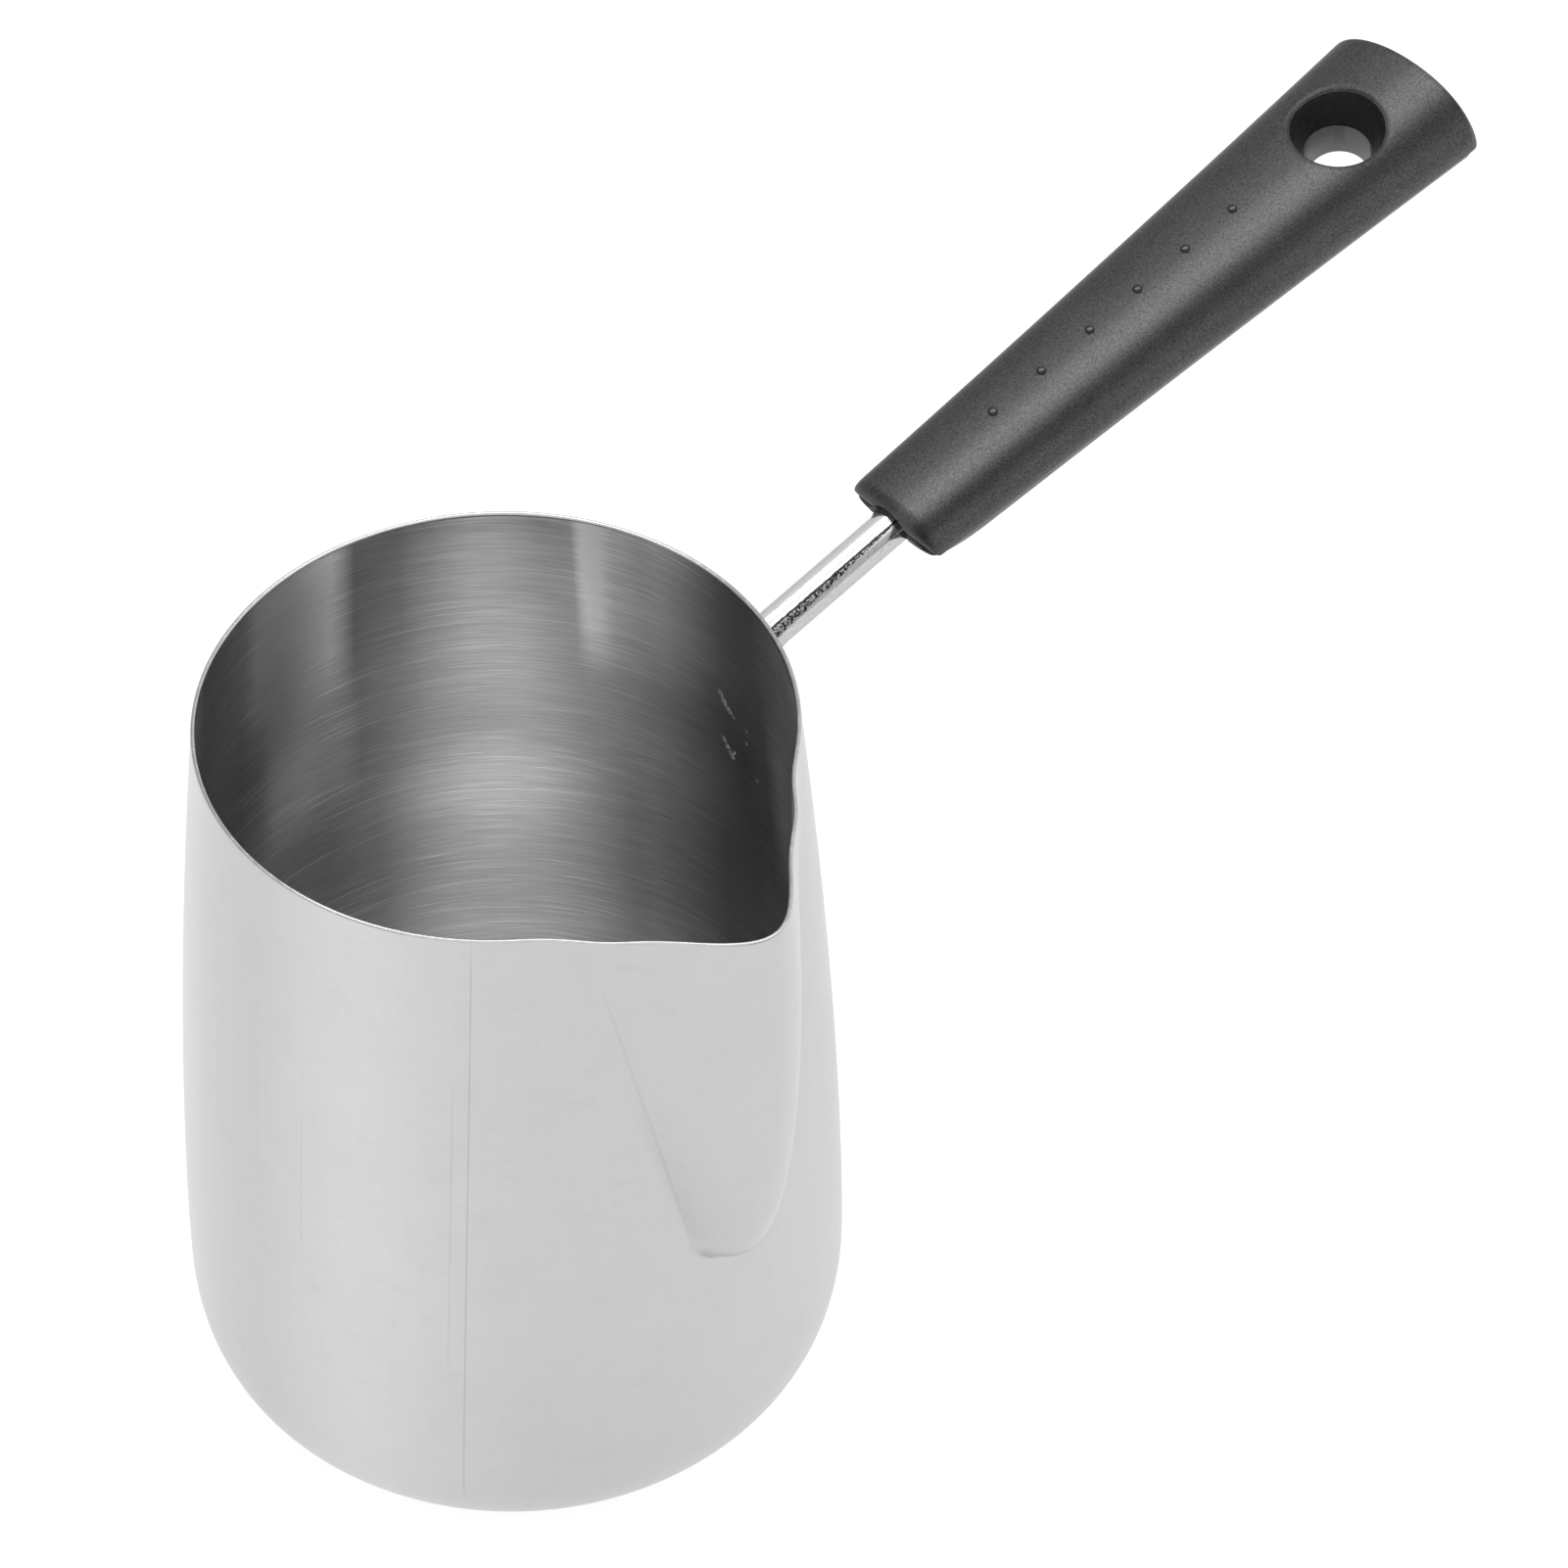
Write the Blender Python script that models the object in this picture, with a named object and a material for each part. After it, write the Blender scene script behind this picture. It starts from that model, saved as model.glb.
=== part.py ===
"""Candle melting pot with a pressed pouring spout and a long two-shell grip.

Units are metres, +Z is up, and the origin is the centre of the flat base. The handle
leaves the pot along +X and the spout points along -Y. A steel rod is spot-welded to the
wall by two nuggets and reaches into the grip, where it ends in a flat tang. Two screws
from below close the grip, and the front one passes through the tang.
"""

import math

import bmesh
import bpy
from mathutils import Matrix, Vector

CLEARANCE = 0.0003  # air left between neighbouring pieces

# Pot body: one deep-drawn sheet, widest low down and necked in towards the rim.
POT_HEIGHT = 0.1237
RIM_RADIUS = 0.0420
BELLY_RADIUS = 0.0483
BELLY_HEIGHT = 0.0200
BASE_RADIUS = 0.0310  # where the corner curve leaves the flat base
CORNER_POWER = 2.5  # superellipse exponent of the corner between base and belly
NECK_POWER = 1.67  # how late the wall leans in above the belly
SHEET = 0.0007

# Spout: a V pressed outwards, widest at the rim and closing at its foot.
SPOUT_ANGLE = math.radians(-90)
SPOUT_REACH = 0.0141  # how far the tip stands out from the rim circle
SPOUT_LOW_REACH = 0.0104  # where the line of the crest would stand out at the foot
SPOUT_MOUTH_HALF_WIDTH = 0.0238
SPOUT_FOOT_HALF_WIDTH = 0.0078
SPOUT_FOOT_START = 0.0638  # below the rim, where the foot begins to close in width
SPOUT_DEPTH = 0.0710  # below the rim, where the spout has died into the wall
NOSE_SOFTNESS_MOUTH = 0.092  # radians of rounding at the crest, at the rim
NOSE_SOFTNESS_FOOT = 0.26
BLEND_MOUTH = 0.0021  # width of the soft junction with the wall, at the rim
BLEND_FOOT = 0.0005

# Rod: round bar bent down against the wall, flattened into a tang inside the grip.
ROD_RADIUS = 0.0030
ROD_SLOPE = math.radians(11.7)
ROD_BEND_RADIUS = 0.0070
ROD_TAIL_LOWEST = 0.0780
ROD_TAIL_TILT = math.radians(4.4)
UPPER_WELD_HEIGHT = 0.0984
LOWER_WELD_HEIGHT = 0.0842
WELD_RADIUS = 0.0018
WELD_POCKET_DEPTH = 0.0010
TANG_START = 0.0160
TANG_FULL = 0.0220
TANG_END = 0.0390
TANG_HALF_WIDTH = 0.0043
TANG_HALF_THICKNESS = 0.0015

# Grip: two shells that meet along a seam that sags slightly along its length.
GRIP_FRONT = Vector((0.0754, 0.0, 0.1112))  # where the rod's axis meets the grip's face
GRIP_LENGTH = 0.1117
GRIP_FRONT_HALF_WIDTH = 0.0088
GRIP_FLARE = 0.037  # half-width gained per metre of length
GRIP_FLARE_GROWTH = 0.115  # further half-width gained per square metre
SEAM_START, SEAM_FALL = 0.0016, 0.0345  # above the rod's axis at the face, lost per metre
UPPER_DEPTH, UPPER_DEPTH_GAIN = 0.00395, 0.020  # at the face, and gained per metre
LOWER_DEPTH = 0.0080
LOWER_NARROWING = 0.0008  # the lower shell stays this far inside the upper one's outline
UPPER_POWER, LOWER_POWER = 2.5, 2.0  # superellipse exponents of the two half-sections
UPPER_FRONT_ROUNDING, UPPER_FRONT_POWER = 0.0020, 3.0
LOWER_FRONT_ROUNDING, LOWER_FRONT_POWER = 0.0130, 2.0  # the lower shell rises like a bow
END_ROUNDING, END_POWER = 0.0014, 2.0
FRONT_CORNER, END_CORNER = 0.0012, 0.0034
END_BOW = 0.0024  # how far the end bows out between its corners
CORNER_SQUARENESS = 7.0
SHELL_WALL = 0.0019
DOT_RADIUS, DOT_RISE = 0.00075, 0.00025
DOT_FIRST, DOT_PITCH, DOT_COUNT = 0.0222, 0.01004, 6
DOT_OFFSET, HOLE_OFFSET = 0.0016, 0.0008  # off the grip's middle line, away from the spout
HOLE_CENTRE = 0.0941
HOLE_MOUTH_RADIUS, HOLE_SEAM_RADIUS, HOLE_THROAT_RADIUS = 0.0073, 0.0050, 0.0045
HOLE_THROAT_DEPTH = 0.0058  # below the seam
HOLE_WALL = 0.0017
RIBS = (0.0080, 0.0150, 0.0500)  # distance from the face of each shell's cross ribs
RIB_THICKNESS = 0.0016

# Screws: self-tapping, one through the tang and one near the middle of the grip.
SCREW_PLACES = {"front": 0.0300, "rear": 0.0700}
SCREW_RADIUS, SCREW_HEAD_RADIUS, SCREW_HEAD_HEIGHT = 0.00145, 0.0027, 0.0016
SCREW_REACH = 0.0031  # above the seam
SCREW_SEAT = 0.0042  # below the seam, where the head bears
BOSS_RADIUS = 0.0036
RECESS_WIDTH, RECESS_DEPTH = 0.0007, 0.0009

ROD_STEEL = ("bright_steel", (0.72, 0.72, 0.73), 0.18, 1.0)
POT_STEEL = ("satin_steel", (0.66, 0.66, 0.67), 0.34, 1.0)
WELD_STEEL = ("weld_steel", (0.40, 0.39, 0.38), 0.45, 1.0)
BLACK_PLASTIC = ("black_plastic", (0.035, 0.035, 0.037), 0.42, 0.0)
SCREW_STEEL = ("zinc_steel", (0.55, 0.56, 0.58), 0.30, 1.0)

# The grip is clamped on the bar slightly turned about it, and a little to the spout's side.
GRIP_ROLL = math.radians(5.2)
GRIP_SIDE_SHIFT = 0.0013
BAR_FRAME = Matrix.Translation(GRIP_FRONT) @ Matrix.Rotation(-ROD_SLOPE, 4, "Y")
BAR_FRAME = BAR_FRAME @ Matrix.Rotation(GRIP_ROLL, 4, "X")
GRIP_FRAME = BAR_FRAME @ Matrix.Translation((0, -GRIP_SIDE_SHIFT, 0))


def clear_scene():
    for old in list(bpy.data.objects):
        bpy.data.objects.remove(old, do_unlink=True)


def material(recipe):
    name, colour, roughness, metallic = recipe
    made = bpy.data.materials.get(name) or bpy.data.materials.new(name)
    made.use_nodes = True
    shader = made.node_tree.nodes["Principled BSDF"]
    shader.inputs["Base Color"].default_value = (*colour, 1.0)
    shader.inputs["Roughness"].default_value = roughness
    shader.inputs["Metallic"].default_value = metallic
    made.diffuse_color = (*colour, 1.0)
    return made


def add_object(name, bm, recipe=None, sharp=math.radians(40)):
    """A smooth-shaded object from a finished bmesh; one with no recipe is a cutter."""
    bmesh.ops.recalc_face_normals(bm, faces=bm.faces)
    mesh = bpy.data.meshes.new(name)
    bm.to_mesh(mesh)
    bm.free()
    mesh.shade_smooth()
    mesh.set_sharp_from_angle(angle=sharp)
    made = bpy.data.objects.new(name, mesh)
    bpy.context.scene.collection.objects.link(made)
    if recipe is None:
        made.hide_render = True
        made.display_type = "WIRE"
    else:
        mesh.materials.append(material(recipe))
    return made


def boolean(target, other, operation):
    modifier = target.modifiers.new(f"{operation.lower()} {other.name}", "BOOLEAN")
    modifier.operation = operation
    modifier.solver = "EXACT"
    modifier.object = other


def lerp(low, high, share):
    return low + (high - low) * share


def spread(low, high, steps):
    """Evenly spaced values from low up to, but not including, high."""
    return [lerp(low, high, i / steps) for i in range(steps)]


def skin_rings(bm, rings, closed=True):
    """Quads between neighbouring rings of vertices, each ring closed on itself."""
    for lower, upper in zip(rings, rings[1:]):
        count = len(lower)
        for i in range(count if closed else count - 1):
            j = (i + 1) % count
            bm.faces.new((lower[i], lower[j], upper[j], upper[i]))


def revolve(profile, segments):
    """A solid turned about Z from (radius, height) pairs that start and end on the axis.

    No corner lies in the part's middle plane, where the shells have an edge.
    """
    bm = bmesh.new()
    rings = []
    for radius, height in profile[1:-1]:
        turn = [2 * math.pi * (i + 0.5) / segments for i in range(segments)]
        rings.append([bm.verts.new((radius * math.cos(a), radius * math.sin(a), height)) for a in turn])
    skin_rings(bm, rings)
    for ring, (_, height) in ((rings[0], profile[0]), (rings[-1], profile[-1])):
        centre = bm.verts.new((0, 0, height))
        for i in range(segments):
            bm.faces.new((ring[i], ring[(i + 1) % segments], centre))
    return bm


def cylinder(radius, low, high, segments=20, top_radius=None):
    top = radius if top_radius is None else top_radius
    return revolve([(0, low), (radius, low), (top, high), (0, high)], segments)


def block(size, centre):
    bm = bmesh.new()
    bmesh.ops.create_cube(bm, size=1.0, matrix=Matrix.Translation(centre) @ Matrix.Diagonal((*size, 1.0)))
    return bm


def cross_prism(arm, half_width, half_height):
    """A plus-shaped prism about Z, for the recess in a screw's head."""
    bm = bmesh.new()
    outline = []
    for quarter in range(4):
        turn = Matrix.Rotation(math.radians(90) * quarter, 3, "Z")
        for x, y in ((half_width, half_width), (half_width, arm), (-half_width, arm)):
            outline.append(turn @ Vector((x, y, 0)))
    rings = [[bm.verts.new(point + Vector((0, 0, z))) for point in outline] for z in (-half_height, half_height)]
    skin_rings(bm, rings)
    for ring in rings:
        bm.faces.new(ring)
    return bm


# ---------------------------------------------------------------- pot body


def wall_radius(height):
    """Outer radius of the round wall above the belly."""
    share = max(0.0, (height - BELLY_HEIGHT) / (POT_HEIGHT - BELLY_HEIGHT))
    return BELLY_RADIUS - (BELLY_RADIUS - RIM_RADIUS) * share**NECK_POWER


def soft_angle(angle, softness):
    """The size of an angle, rounded where it passes through zero."""
    return math.hypot(angle, softness) - softness


def soft_max(first, second, blend):
    overlap = max(blend - abs(first - second), 0.0)
    return max(first, second) + overlap * overlap / (4 * blend)


def spout_radius(angle, height):
    """Outer radius with the spout, at an angle from the spout's own plane."""
    wall = wall_radius(height)
    below_rim = POT_HEIGHT - height
    if below_rim >= SPOUT_DEPTH:
        return wall
    down = min(below_rim / SPOUT_FOOT_START, 1.0)
    closing = max(0.0, (below_rim - SPOUT_FOOT_START) / (SPOUT_DEPTH - SPOUT_FOOT_START))
    open_share = math.sqrt(1.0 - closing * closing)
    fall = below_rim / SPOUT_DEPTH
    crest = wall + lerp(SPOUT_REACH, SPOUT_LOW_REACH, fall) * math.sqrt(1.0 - fall**4)
    half_width = lerp(SPOUT_MOUTH_HALF_WIDTH, SPOUT_FOOT_HALF_WIDTH, down) * open_share
    softness = lerp(NOSE_SOFTNESS_MOUTH, NOSE_SOFTNESS_FOOT, down)
    edge = soft_angle(math.asin(half_width / wall), softness)
    lean = math.atan((crest / wall - math.cos(edge)) / math.sin(edge))
    side = crest * math.cos(lean) / math.cos(max(lean - soft_angle(angle, softness), 0.0))
    return soft_max(wall, side, lerp(BLEND_MOUTH, BLEND_FOOT, down))


def pot_outline():
    """(radius, height) up the corner from the base to the belly."""
    steps = 7
    points = []
    for i in range(steps):
        turn = math.radians(90) * i / steps
        out = math.sin(turn) ** (2 / CORNER_POWER)
        up = 1.0 - math.cos(turn) ** (2 / CORNER_POWER)
        points.append((lerp(BASE_RADIUS, BELLY_RADIUS, out), BELLY_HEIGHT * up))
    return points


def make_pot_body():
    fine, coarse = math.radians(3.75), math.radians(9)
    half_zone = math.radians(45)
    angles = spread(-half_zone, half_zone, round(2 * half_zone / fine))
    angles += spread(half_zone, 2 * math.pi - half_zone, round((2 * math.pi - 2 * half_zone) / coarse))
    foot = POT_HEIGHT - SPOUT_DEPTH
    heights = spread(BELLY_HEIGHT, foot - 0.001, 4)
    heights += spread(foot - 0.001, foot + 0.014, 8)
    heights += spread(foot + 0.014, POT_HEIGHT, 8) + [POT_HEIGHT]
    rows = [[(radius, height)] * len(angles) for radius, height in pot_outline()]
    rows += [[(spout_radius(angle, height), height) for angle in angles] for height in heights]
    bm = bmesh.new()
    rings = []
    for row in rows:
        ring = []
        for angle, (radius, height) in zip(angles, row):
            turn = SPOUT_ANGLE + angle
            ring.append(bm.verts.new((radius * math.cos(turn), radius * math.sin(turn), height)))
        rings.append(ring)
    centre = bm.verts.new((0, 0, 0))
    for i in range(len(angles)):
        bm.faces.new((centre, rings[0][(i + 1) % len(angles)], rings[0][i]))
    skin_rings(bm, rings)
    pot = add_object("pot_body", bm, POT_STEEL)
    wall = pot.modifiers.new("sheet", "SOLIDIFY")
    wall.thickness = SHEET
    wall.offset = -1.0
    wall.use_even_offset = True


# ---------------------------------------------------------------- rod and welds


def tail_point(height):
    """Centre of the rod's tail, which lies along the outside of the wall."""
    upper = Vector((wall_radius(UPPER_WELD_HEIGHT) + ROD_RADIUS + CLEARANCE, 0, UPPER_WELD_HEIGHT))
    drop = UPPER_WELD_HEIGHT - height
    return upper + Vector((drop * math.tan(ROD_TAIL_TILT), 0, -drop))


def rod_path():
    """Centres and directions along the rod, from the tail's end to the tang's end."""
    along = Vector((math.cos(ROD_SLOPE), 0, math.sin(ROD_SLOPE)))
    up_tail = Vector((-math.sin(ROD_TAIL_TILT), 0, math.cos(ROD_TAIL_TILT)))
    low = tail_point(ROD_TAIL_LOWEST)
    # Where the tail's line crosses the grip's axis, found from their two plane equations.
    offset = GRIP_FRONT - low
    cross = along.x * up_tail.z - along.z * up_tail.x
    climb = (offset.z * along.x - offset.x * along.z) / cross
    corner = low + up_tail * climb
    turn = up_tail.angle(along)
    setback = ROD_BEND_RADIUS * math.tan(turn / 2)
    start = corner - up_tail * setback
    centre = start + Vector((up_tail.z, 0, -up_tail.x)) * ROD_BEND_RADIUS
    path = [(low, up_tail)]
    steps = 8
    for i in range(steps + 1):
        swing = Matrix.Rotation(turn * i / steps, 3, "Y")
        path.append((centre + swing @ (start - centre), swing @ up_tail))
    return path + [(GRIP_FRONT + along * reach, along) for reach in (0.0, TANG_START, TANG_FULL, TANG_END)]


def make_handle_rod():
    """Round sections swept along the path, flattened over the tang.

    Every section is turned as far as the grip is, so that the bar is not twisted.
    """
    segments = 16
    bm = bmesh.new()
    path = rod_path()
    roll = Matrix.Rotation(GRIP_ROLL, 3, "X")
    rings = []
    for place, (centre, heading) in enumerate(path):
        on_tang = place >= len(path) - 2
        half_width = TANG_HALF_WIDTH if on_tang else ROD_RADIUS
        half_depth = TANG_HALF_THICKNESS if on_tang else ROD_RADIUS
        across = Vector((heading.z, 0, -heading.x))
        ring = []
        for i in range(segments):
            turn = 2 * math.pi * i / segments
            flat = roll @ Vector((0, half_width * math.sin(turn), half_depth * math.cos(turn)))
            ring.append(bm.verts.new(centre - across * flat.z + Vector((0, flat.y, 0))))
        rings.append(ring)
    skin_rings(bm, rings)
    bm.faces.new(rings[0])
    bm.faces.new(rings[-1])
    rod = add_object("handle_rod", bm, ROD_STEEL)
    hole = add_object("tang_hole", cylinder(SCREW_RADIUS + CLEARANCE, -0.01, 0.01))
    hole.matrix_world = GRIP_FRAME @ Matrix.Translation((SCREW_PLACES["front"], 0, 0))
    boolean(rod, hole, "DIFFERENCE")
    for name, height in (("upper", UPPER_WELD_HEIGHT), ("lower", LOWER_WELD_HEIGHT)):
        pocket = add_object(f"{name}_weld_pocket", cylinder(WELD_RADIUS + CLEARANCE, -0.004, WELD_POCKET_DEPTH))
        pocket.matrix_world = weld_frame(height)
        boolean(rod, pocket, "DIFFERENCE")


def weld_frame(height):
    """Origin on the rod's wall side, +Z into the rod and square to the wall."""
    into_rod = Vector((math.cos(ROD_TAIL_TILT), 0, math.sin(ROD_TAIL_TILT)))
    place = tail_point(height) - into_rod * ROD_RADIUS
    return Matrix.Translation(place) @ into_rod.to_track_quat("Z", "Y").to_matrix().to_4x4()


def make_welds():
    """Each nugget is the fused metal between the wall and the rod."""
    for name, height in (("upper", UPPER_WELD_HEIGHT), ("lower", LOWER_WELD_HEIGHT)):
        low = -CLEARANCE / 2
        high = WELD_POCKET_DEPTH - CLEARANCE / 2
        nugget = add_object(f"{name}_weld_nugget", cylinder(WELD_RADIUS, low, high, 14), WELD_STEEL)
        nugget.matrix_world = weld_frame(height)


# ---------------------------------------------------------------- grip


def seam_height(reach):
    return SEAM_START - SEAM_FALL * reach


def shell_depth(side, reach):
    return UPPER_DEPTH + UPPER_DEPTH_GAIN * reach if side > 0 else LOWER_DEPTH


def grip_half_width(side, reach):
    width = GRIP_FRONT_HALF_WIDTH + GRIP_FLARE * reach + GRIP_FLARE_GROWTH * reach * reach
    return width if side > 0 else width - LOWER_NARROWING


def rounded(distance, depth, power):
    """0 at an edge, rising to 1 at a depth behind it, along a superellipse."""
    if distance >= depth:
        return 1.0
    return (1.0 - (1.0 - distance / depth) ** power) ** (1.0 / power)


def corner_setback(across, depth):
    return depth * (1.0 - (1.0 - abs(across) ** CORNER_SQUARENESS) ** (1.0 / CORNER_SQUARENESS))


def grip_row(across, rise, side, inset):
    """Local points along the grip at one place across it.

    across runs from -1 to 1 over the half-width, rise is the section's height there,
    from 0 to 1, side is +1 for the upper shell and -1 for the lower, and inset moves
    the whole surface inwards.
    """
    if side > 0:
        front_rounding, front_power = UPPER_FRONT_ROUNDING, UPPER_FRONT_POWER
    else:
        front_rounding, front_power = LOWER_FRONT_ROUNDING, LOWER_FRONT_POWER
    first = inset + corner_setback(across, FRONT_CORNER)
    last = GRIP_LENGTH - inset - END_BOW * across * across - corner_setback(across, END_CORNER)
    steps = 5
    turns = [math.radians(90) * i / steps for i in range(steps)]
    reaches = [first + front_rounding * (1 - math.cos(turn)) for turn in turns]
    reaches += spread(first + front_rounding, last - END_ROUNDING, 10)
    reaches += [last - END_ROUNDING * (1 - math.cos(turn)) for turn in [math.radians(90)] + turns[::-1]]
    points = []
    for reach in reaches:
        half_width = grip_half_width(side, reach) - inset
        ends = rounded(reach - first, front_rounding, front_power)
        ends *= rounded(last - reach, END_ROUNDING, END_POWER)
        height = (shell_depth(side, reach) - inset) * rise * ends
        base = seam_height(reach) + side * CLEARANCE / 2
        points.append(Vector((reach, across * half_width, base + side * height)))
    return points


def grip_form(side, inset=0.0, skirt=0.0):
    """Half of the grip's shape as a closed solid, its flat side on the seam.

    skirt carries the flat side past the seam, which a cutter needs.
    """
    steps = 16
    power = UPPER_POWER if side > 0 else LOWER_POWER
    bm = bmesh.new()
    outer, flat = [], []
    for i in range(steps + 1):
        turn = math.pi * i / steps
        across = math.copysign(abs(math.cos(turn)) ** (2 / power), math.cos(turn))
        rise = abs(math.sin(turn)) ** (2 / power) if 0 < i < steps else 0.0
        row = grip_row(across, rise, side, inset)
        outer.append([bm.verts.new(point) for point in row])
        base = grip_row(across, 0.0, side, inset)
        drop = Vector((0, 0, -side * skirt))
        on_edge = i in (0, steps)
        flat_row = []
        for j, point in enumerate(base):
            shared = skirt == 0.0 and (on_edge or j in (0, len(base) - 1))
            flat_row.append(outer[-1][j] if shared else bm.verts.new(point + drop))
        flat.append(flat_row)
    skin_rings(bm, outer, closed=False)
    skin_rings(bm, flat, closed=False)
    if skirt:
        last = len(outer[0]) - 1
        edges = [(outer[0], flat[0]), (outer[-1], flat[-1])]
        edges += [([row[j] for row in outer], [row[j] for row in flat]) for j in (0, last)]
        for edge in edges:
            skin_rings(bm, edge, closed=False)
    # A Boolean needs flat faces, and these quads are slightly twisted.
    bmesh.ops.triangulate(bm, faces=bm.faces)
    return bm


def in_grip(made, reach=0.0, height=0.0, offset=0.0):
    made.matrix_world = GRIP_FRAME @ Matrix.Translation((reach, offset, height))
    return made


def shell_core(name, side):
    """The hollow inside a shell: its bosses, ribs and hole wall are cut out of it."""
    core = in_grip(add_object(f"{name}_core", grip_form(side, SHELL_WALL, 0.001)))
    far = 0.012
    for place, reach in SCREW_PLACES.items():
        near = seam_height(reach) - side * 0.002
        if place == "front":
            near = side * (TANG_HALF_THICKNESS + CLEARANCE)
        low, high = sorted((near, side * far))
        boss = add_object(f"{name}_{place}_boss", cylinder(BOSS_RADIUS, low, high))
        boolean(core, in_grip(boss, reach), "DIFFERENCE")
    low, high = sorted((-side * 0.002, side * far))
    tube = add_object(f"{name}_hole_wall", cylinder(HOLE_MOUTH_RADIUS + HOLE_WALL, low, high, 32))
    boolean(core, in_grip(tube, HOLE_CENTRE, seam_height(HOLE_CENTRE), HOLE_OFFSET), "DIFFERENCE")
    for i, reach in enumerate(RIBS):
        rib = add_object(f"{name}_rib_{i}", block((RIB_THICKNESS, 0.04, 0.03), (0, 0, 0)))
        boolean(core, in_grip(rib, reach), "DIFFERENCE")
    return core


def hole_cutter(name, side):
    """The hanging hole: a cone above; below, a taper to the throat and a flare after it."""
    past = 0.003
    if side > 0:
        slope = (HOLE_MOUTH_RADIUS - HOLE_SEAM_RADIUS) / shell_depth(side, HOLE_CENTRE)
        low, high = HOLE_SEAM_RADIUS - slope * past, HOLE_MOUTH_RADIUS + slope * past
        top = shell_depth(side, HOLE_CENTRE) + past
        profile = [(0, -past), (low, -past), (high, top), (0, top)]
    else:
        slope = (HOLE_SEAM_RADIUS - HOLE_THROAT_RADIUS) / HOLE_THROAT_DEPTH
        flare = (HOLE_MOUTH_RADIUS - HOLE_THROAT_RADIUS) / (LOWER_DEPTH - HOLE_THROAT_DEPTH)
        bottom = -LOWER_DEPTH - past
        mouth = HOLE_MOUTH_RADIUS + flare * past
        seam = HOLE_SEAM_RADIUS + slope * past
        profile = [(0, bottom), (mouth, bottom), (HOLE_THROAT_RADIUS, -HOLE_THROAT_DEPTH), (seam, past), (0, past)]
    cone = add_object(f"{name}_hole", revolve(profile, 32))
    return in_grip(cone, HOLE_CENTRE, seam_height(HOLE_CENTRE), HOLE_OFFSET)


def rod_bore(name):
    """Room for the round part of the rod, between the face and the last cradle rib."""
    bore = add_object(f"{name}_rod_bore", cylinder(ROD_RADIUS + CLEARANCE, -0.002, TANG_START + 0.002))
    bore.matrix_world = BAR_FRAME @ Matrix.Rotation(math.radians(90), 4, "Y")
    return bore


def screw_hole_profile(side):
    """A blind hole in the upper shell; below, a through hole with a well for the head."""
    hole = SCREW_RADIUS + CLEARANCE
    past = 0.003
    if side > 0:
        top = SCREW_REACH + CLEARANCE
        return [(0, -past), (hole, -past), (hole, top), (0, top)]
    well = SCREW_HEAD_RADIUS + CLEARANCE
    low = -LOWER_DEPTH - past
    return [(0, low), (well, low), (well, -SCREW_SEAT), (hole, -SCREW_SEAT), (hole, past), (0, past)]


def add_dots(shell):
    """A row of small raised dots along the top of the upper shell."""
    for i in range(DOT_COUNT):
        reach = DOT_FIRST + i * DOT_PITCH
        top = seam_height(reach) + shell_depth(1, reach) + CLEARANCE / 2
        dome = [(0, -0.0006), (DOT_RADIUS, -0.0006), (DOT_RADIUS, 0.0), (DOT_RADIUS * 0.6, DOT_RISE), (0, DOT_RISE)]
        dot = add_object(f"dot_{i}", revolve(dome, 12))
        boolean(shell, in_grip(dot, reach, top, DOT_OFFSET), "UNION")


def make_shell(name, side):
    shell = in_grip(add_object(name, grip_form(side), BLACK_PLASTIC))
    boolean(shell, rod_bore(name), "DIFFERENCE")
    boolean(shell, hole_cutter(name, side), "DIFFERENCE")
    for place, reach in SCREW_PLACES.items():
        drill = revolve(screw_hole_profile(side), 18)
        drilled = in_grip(add_object(f"{name}_{place}_drill", drill), reach, seam_height(reach))
        boolean(shell, drilled, "DIFFERENCE")
    if side > 0:
        add_dots(shell)
    boolean(shell, shell_core(name, side), "DIFFERENCE")


def make_screws():
    """Pan-head screws with a cross recess, pointing up into the upper shell's bosses."""
    for place, reach in SCREW_PLACES.items():
        head = -SCREW_SEAT - CLEARANCE
        bottom = head - SCREW_HEAD_HEIGHT
        profile = [
            (0, bottom),
            (SCREW_HEAD_RADIUS * 0.7, bottom),
            (SCREW_HEAD_RADIUS, bottom + SCREW_HEAD_HEIGHT * 0.45),
            (SCREW_HEAD_RADIUS, head),
            (SCREW_RADIUS, head),
            (SCREW_RADIUS, SCREW_REACH - 0.0012),
            (SCREW_RADIUS * 0.25, SCREW_REACH),
            (0, SCREW_REACH),
        ]
        frame = GRIP_FRAME @ Matrix.Translation((reach, 0, seam_height(reach)))
        screw = add_object(f"grip_screw_{place}", revolve(profile, 20), SCREW_STEEL)
        screw.matrix_world = frame
        recess = add_object(f"{place}_recess", cross_prism(SCREW_HEAD_RADIUS * 0.62, RECESS_WIDTH / 2, RECESS_DEPTH))
        recess.matrix_world = frame @ Matrix.Translation((0, 0, bottom))
        boolean(screw, recess, "DIFFERENCE")


def main():
    clear_scene()
    make_pot_body()
    make_handle_rod()
    make_welds()
    make_shell("grip_upper_shell", 1)
    make_shell("grip_lower_shell", -1)
    make_screws()


main()
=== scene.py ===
"""Looks of the candle melting pot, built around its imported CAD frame.

Units are metres, +Z is up, the handle leaves the pot along +X and the spout points
along -Y. Every shape follows the CAD piece that it stands for, with finer meshes,
rounded edges and procedural materials.
"""

import math

import bmesh
import bpy
import numpy as np
from mathutils import Matrix, Vector


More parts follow.
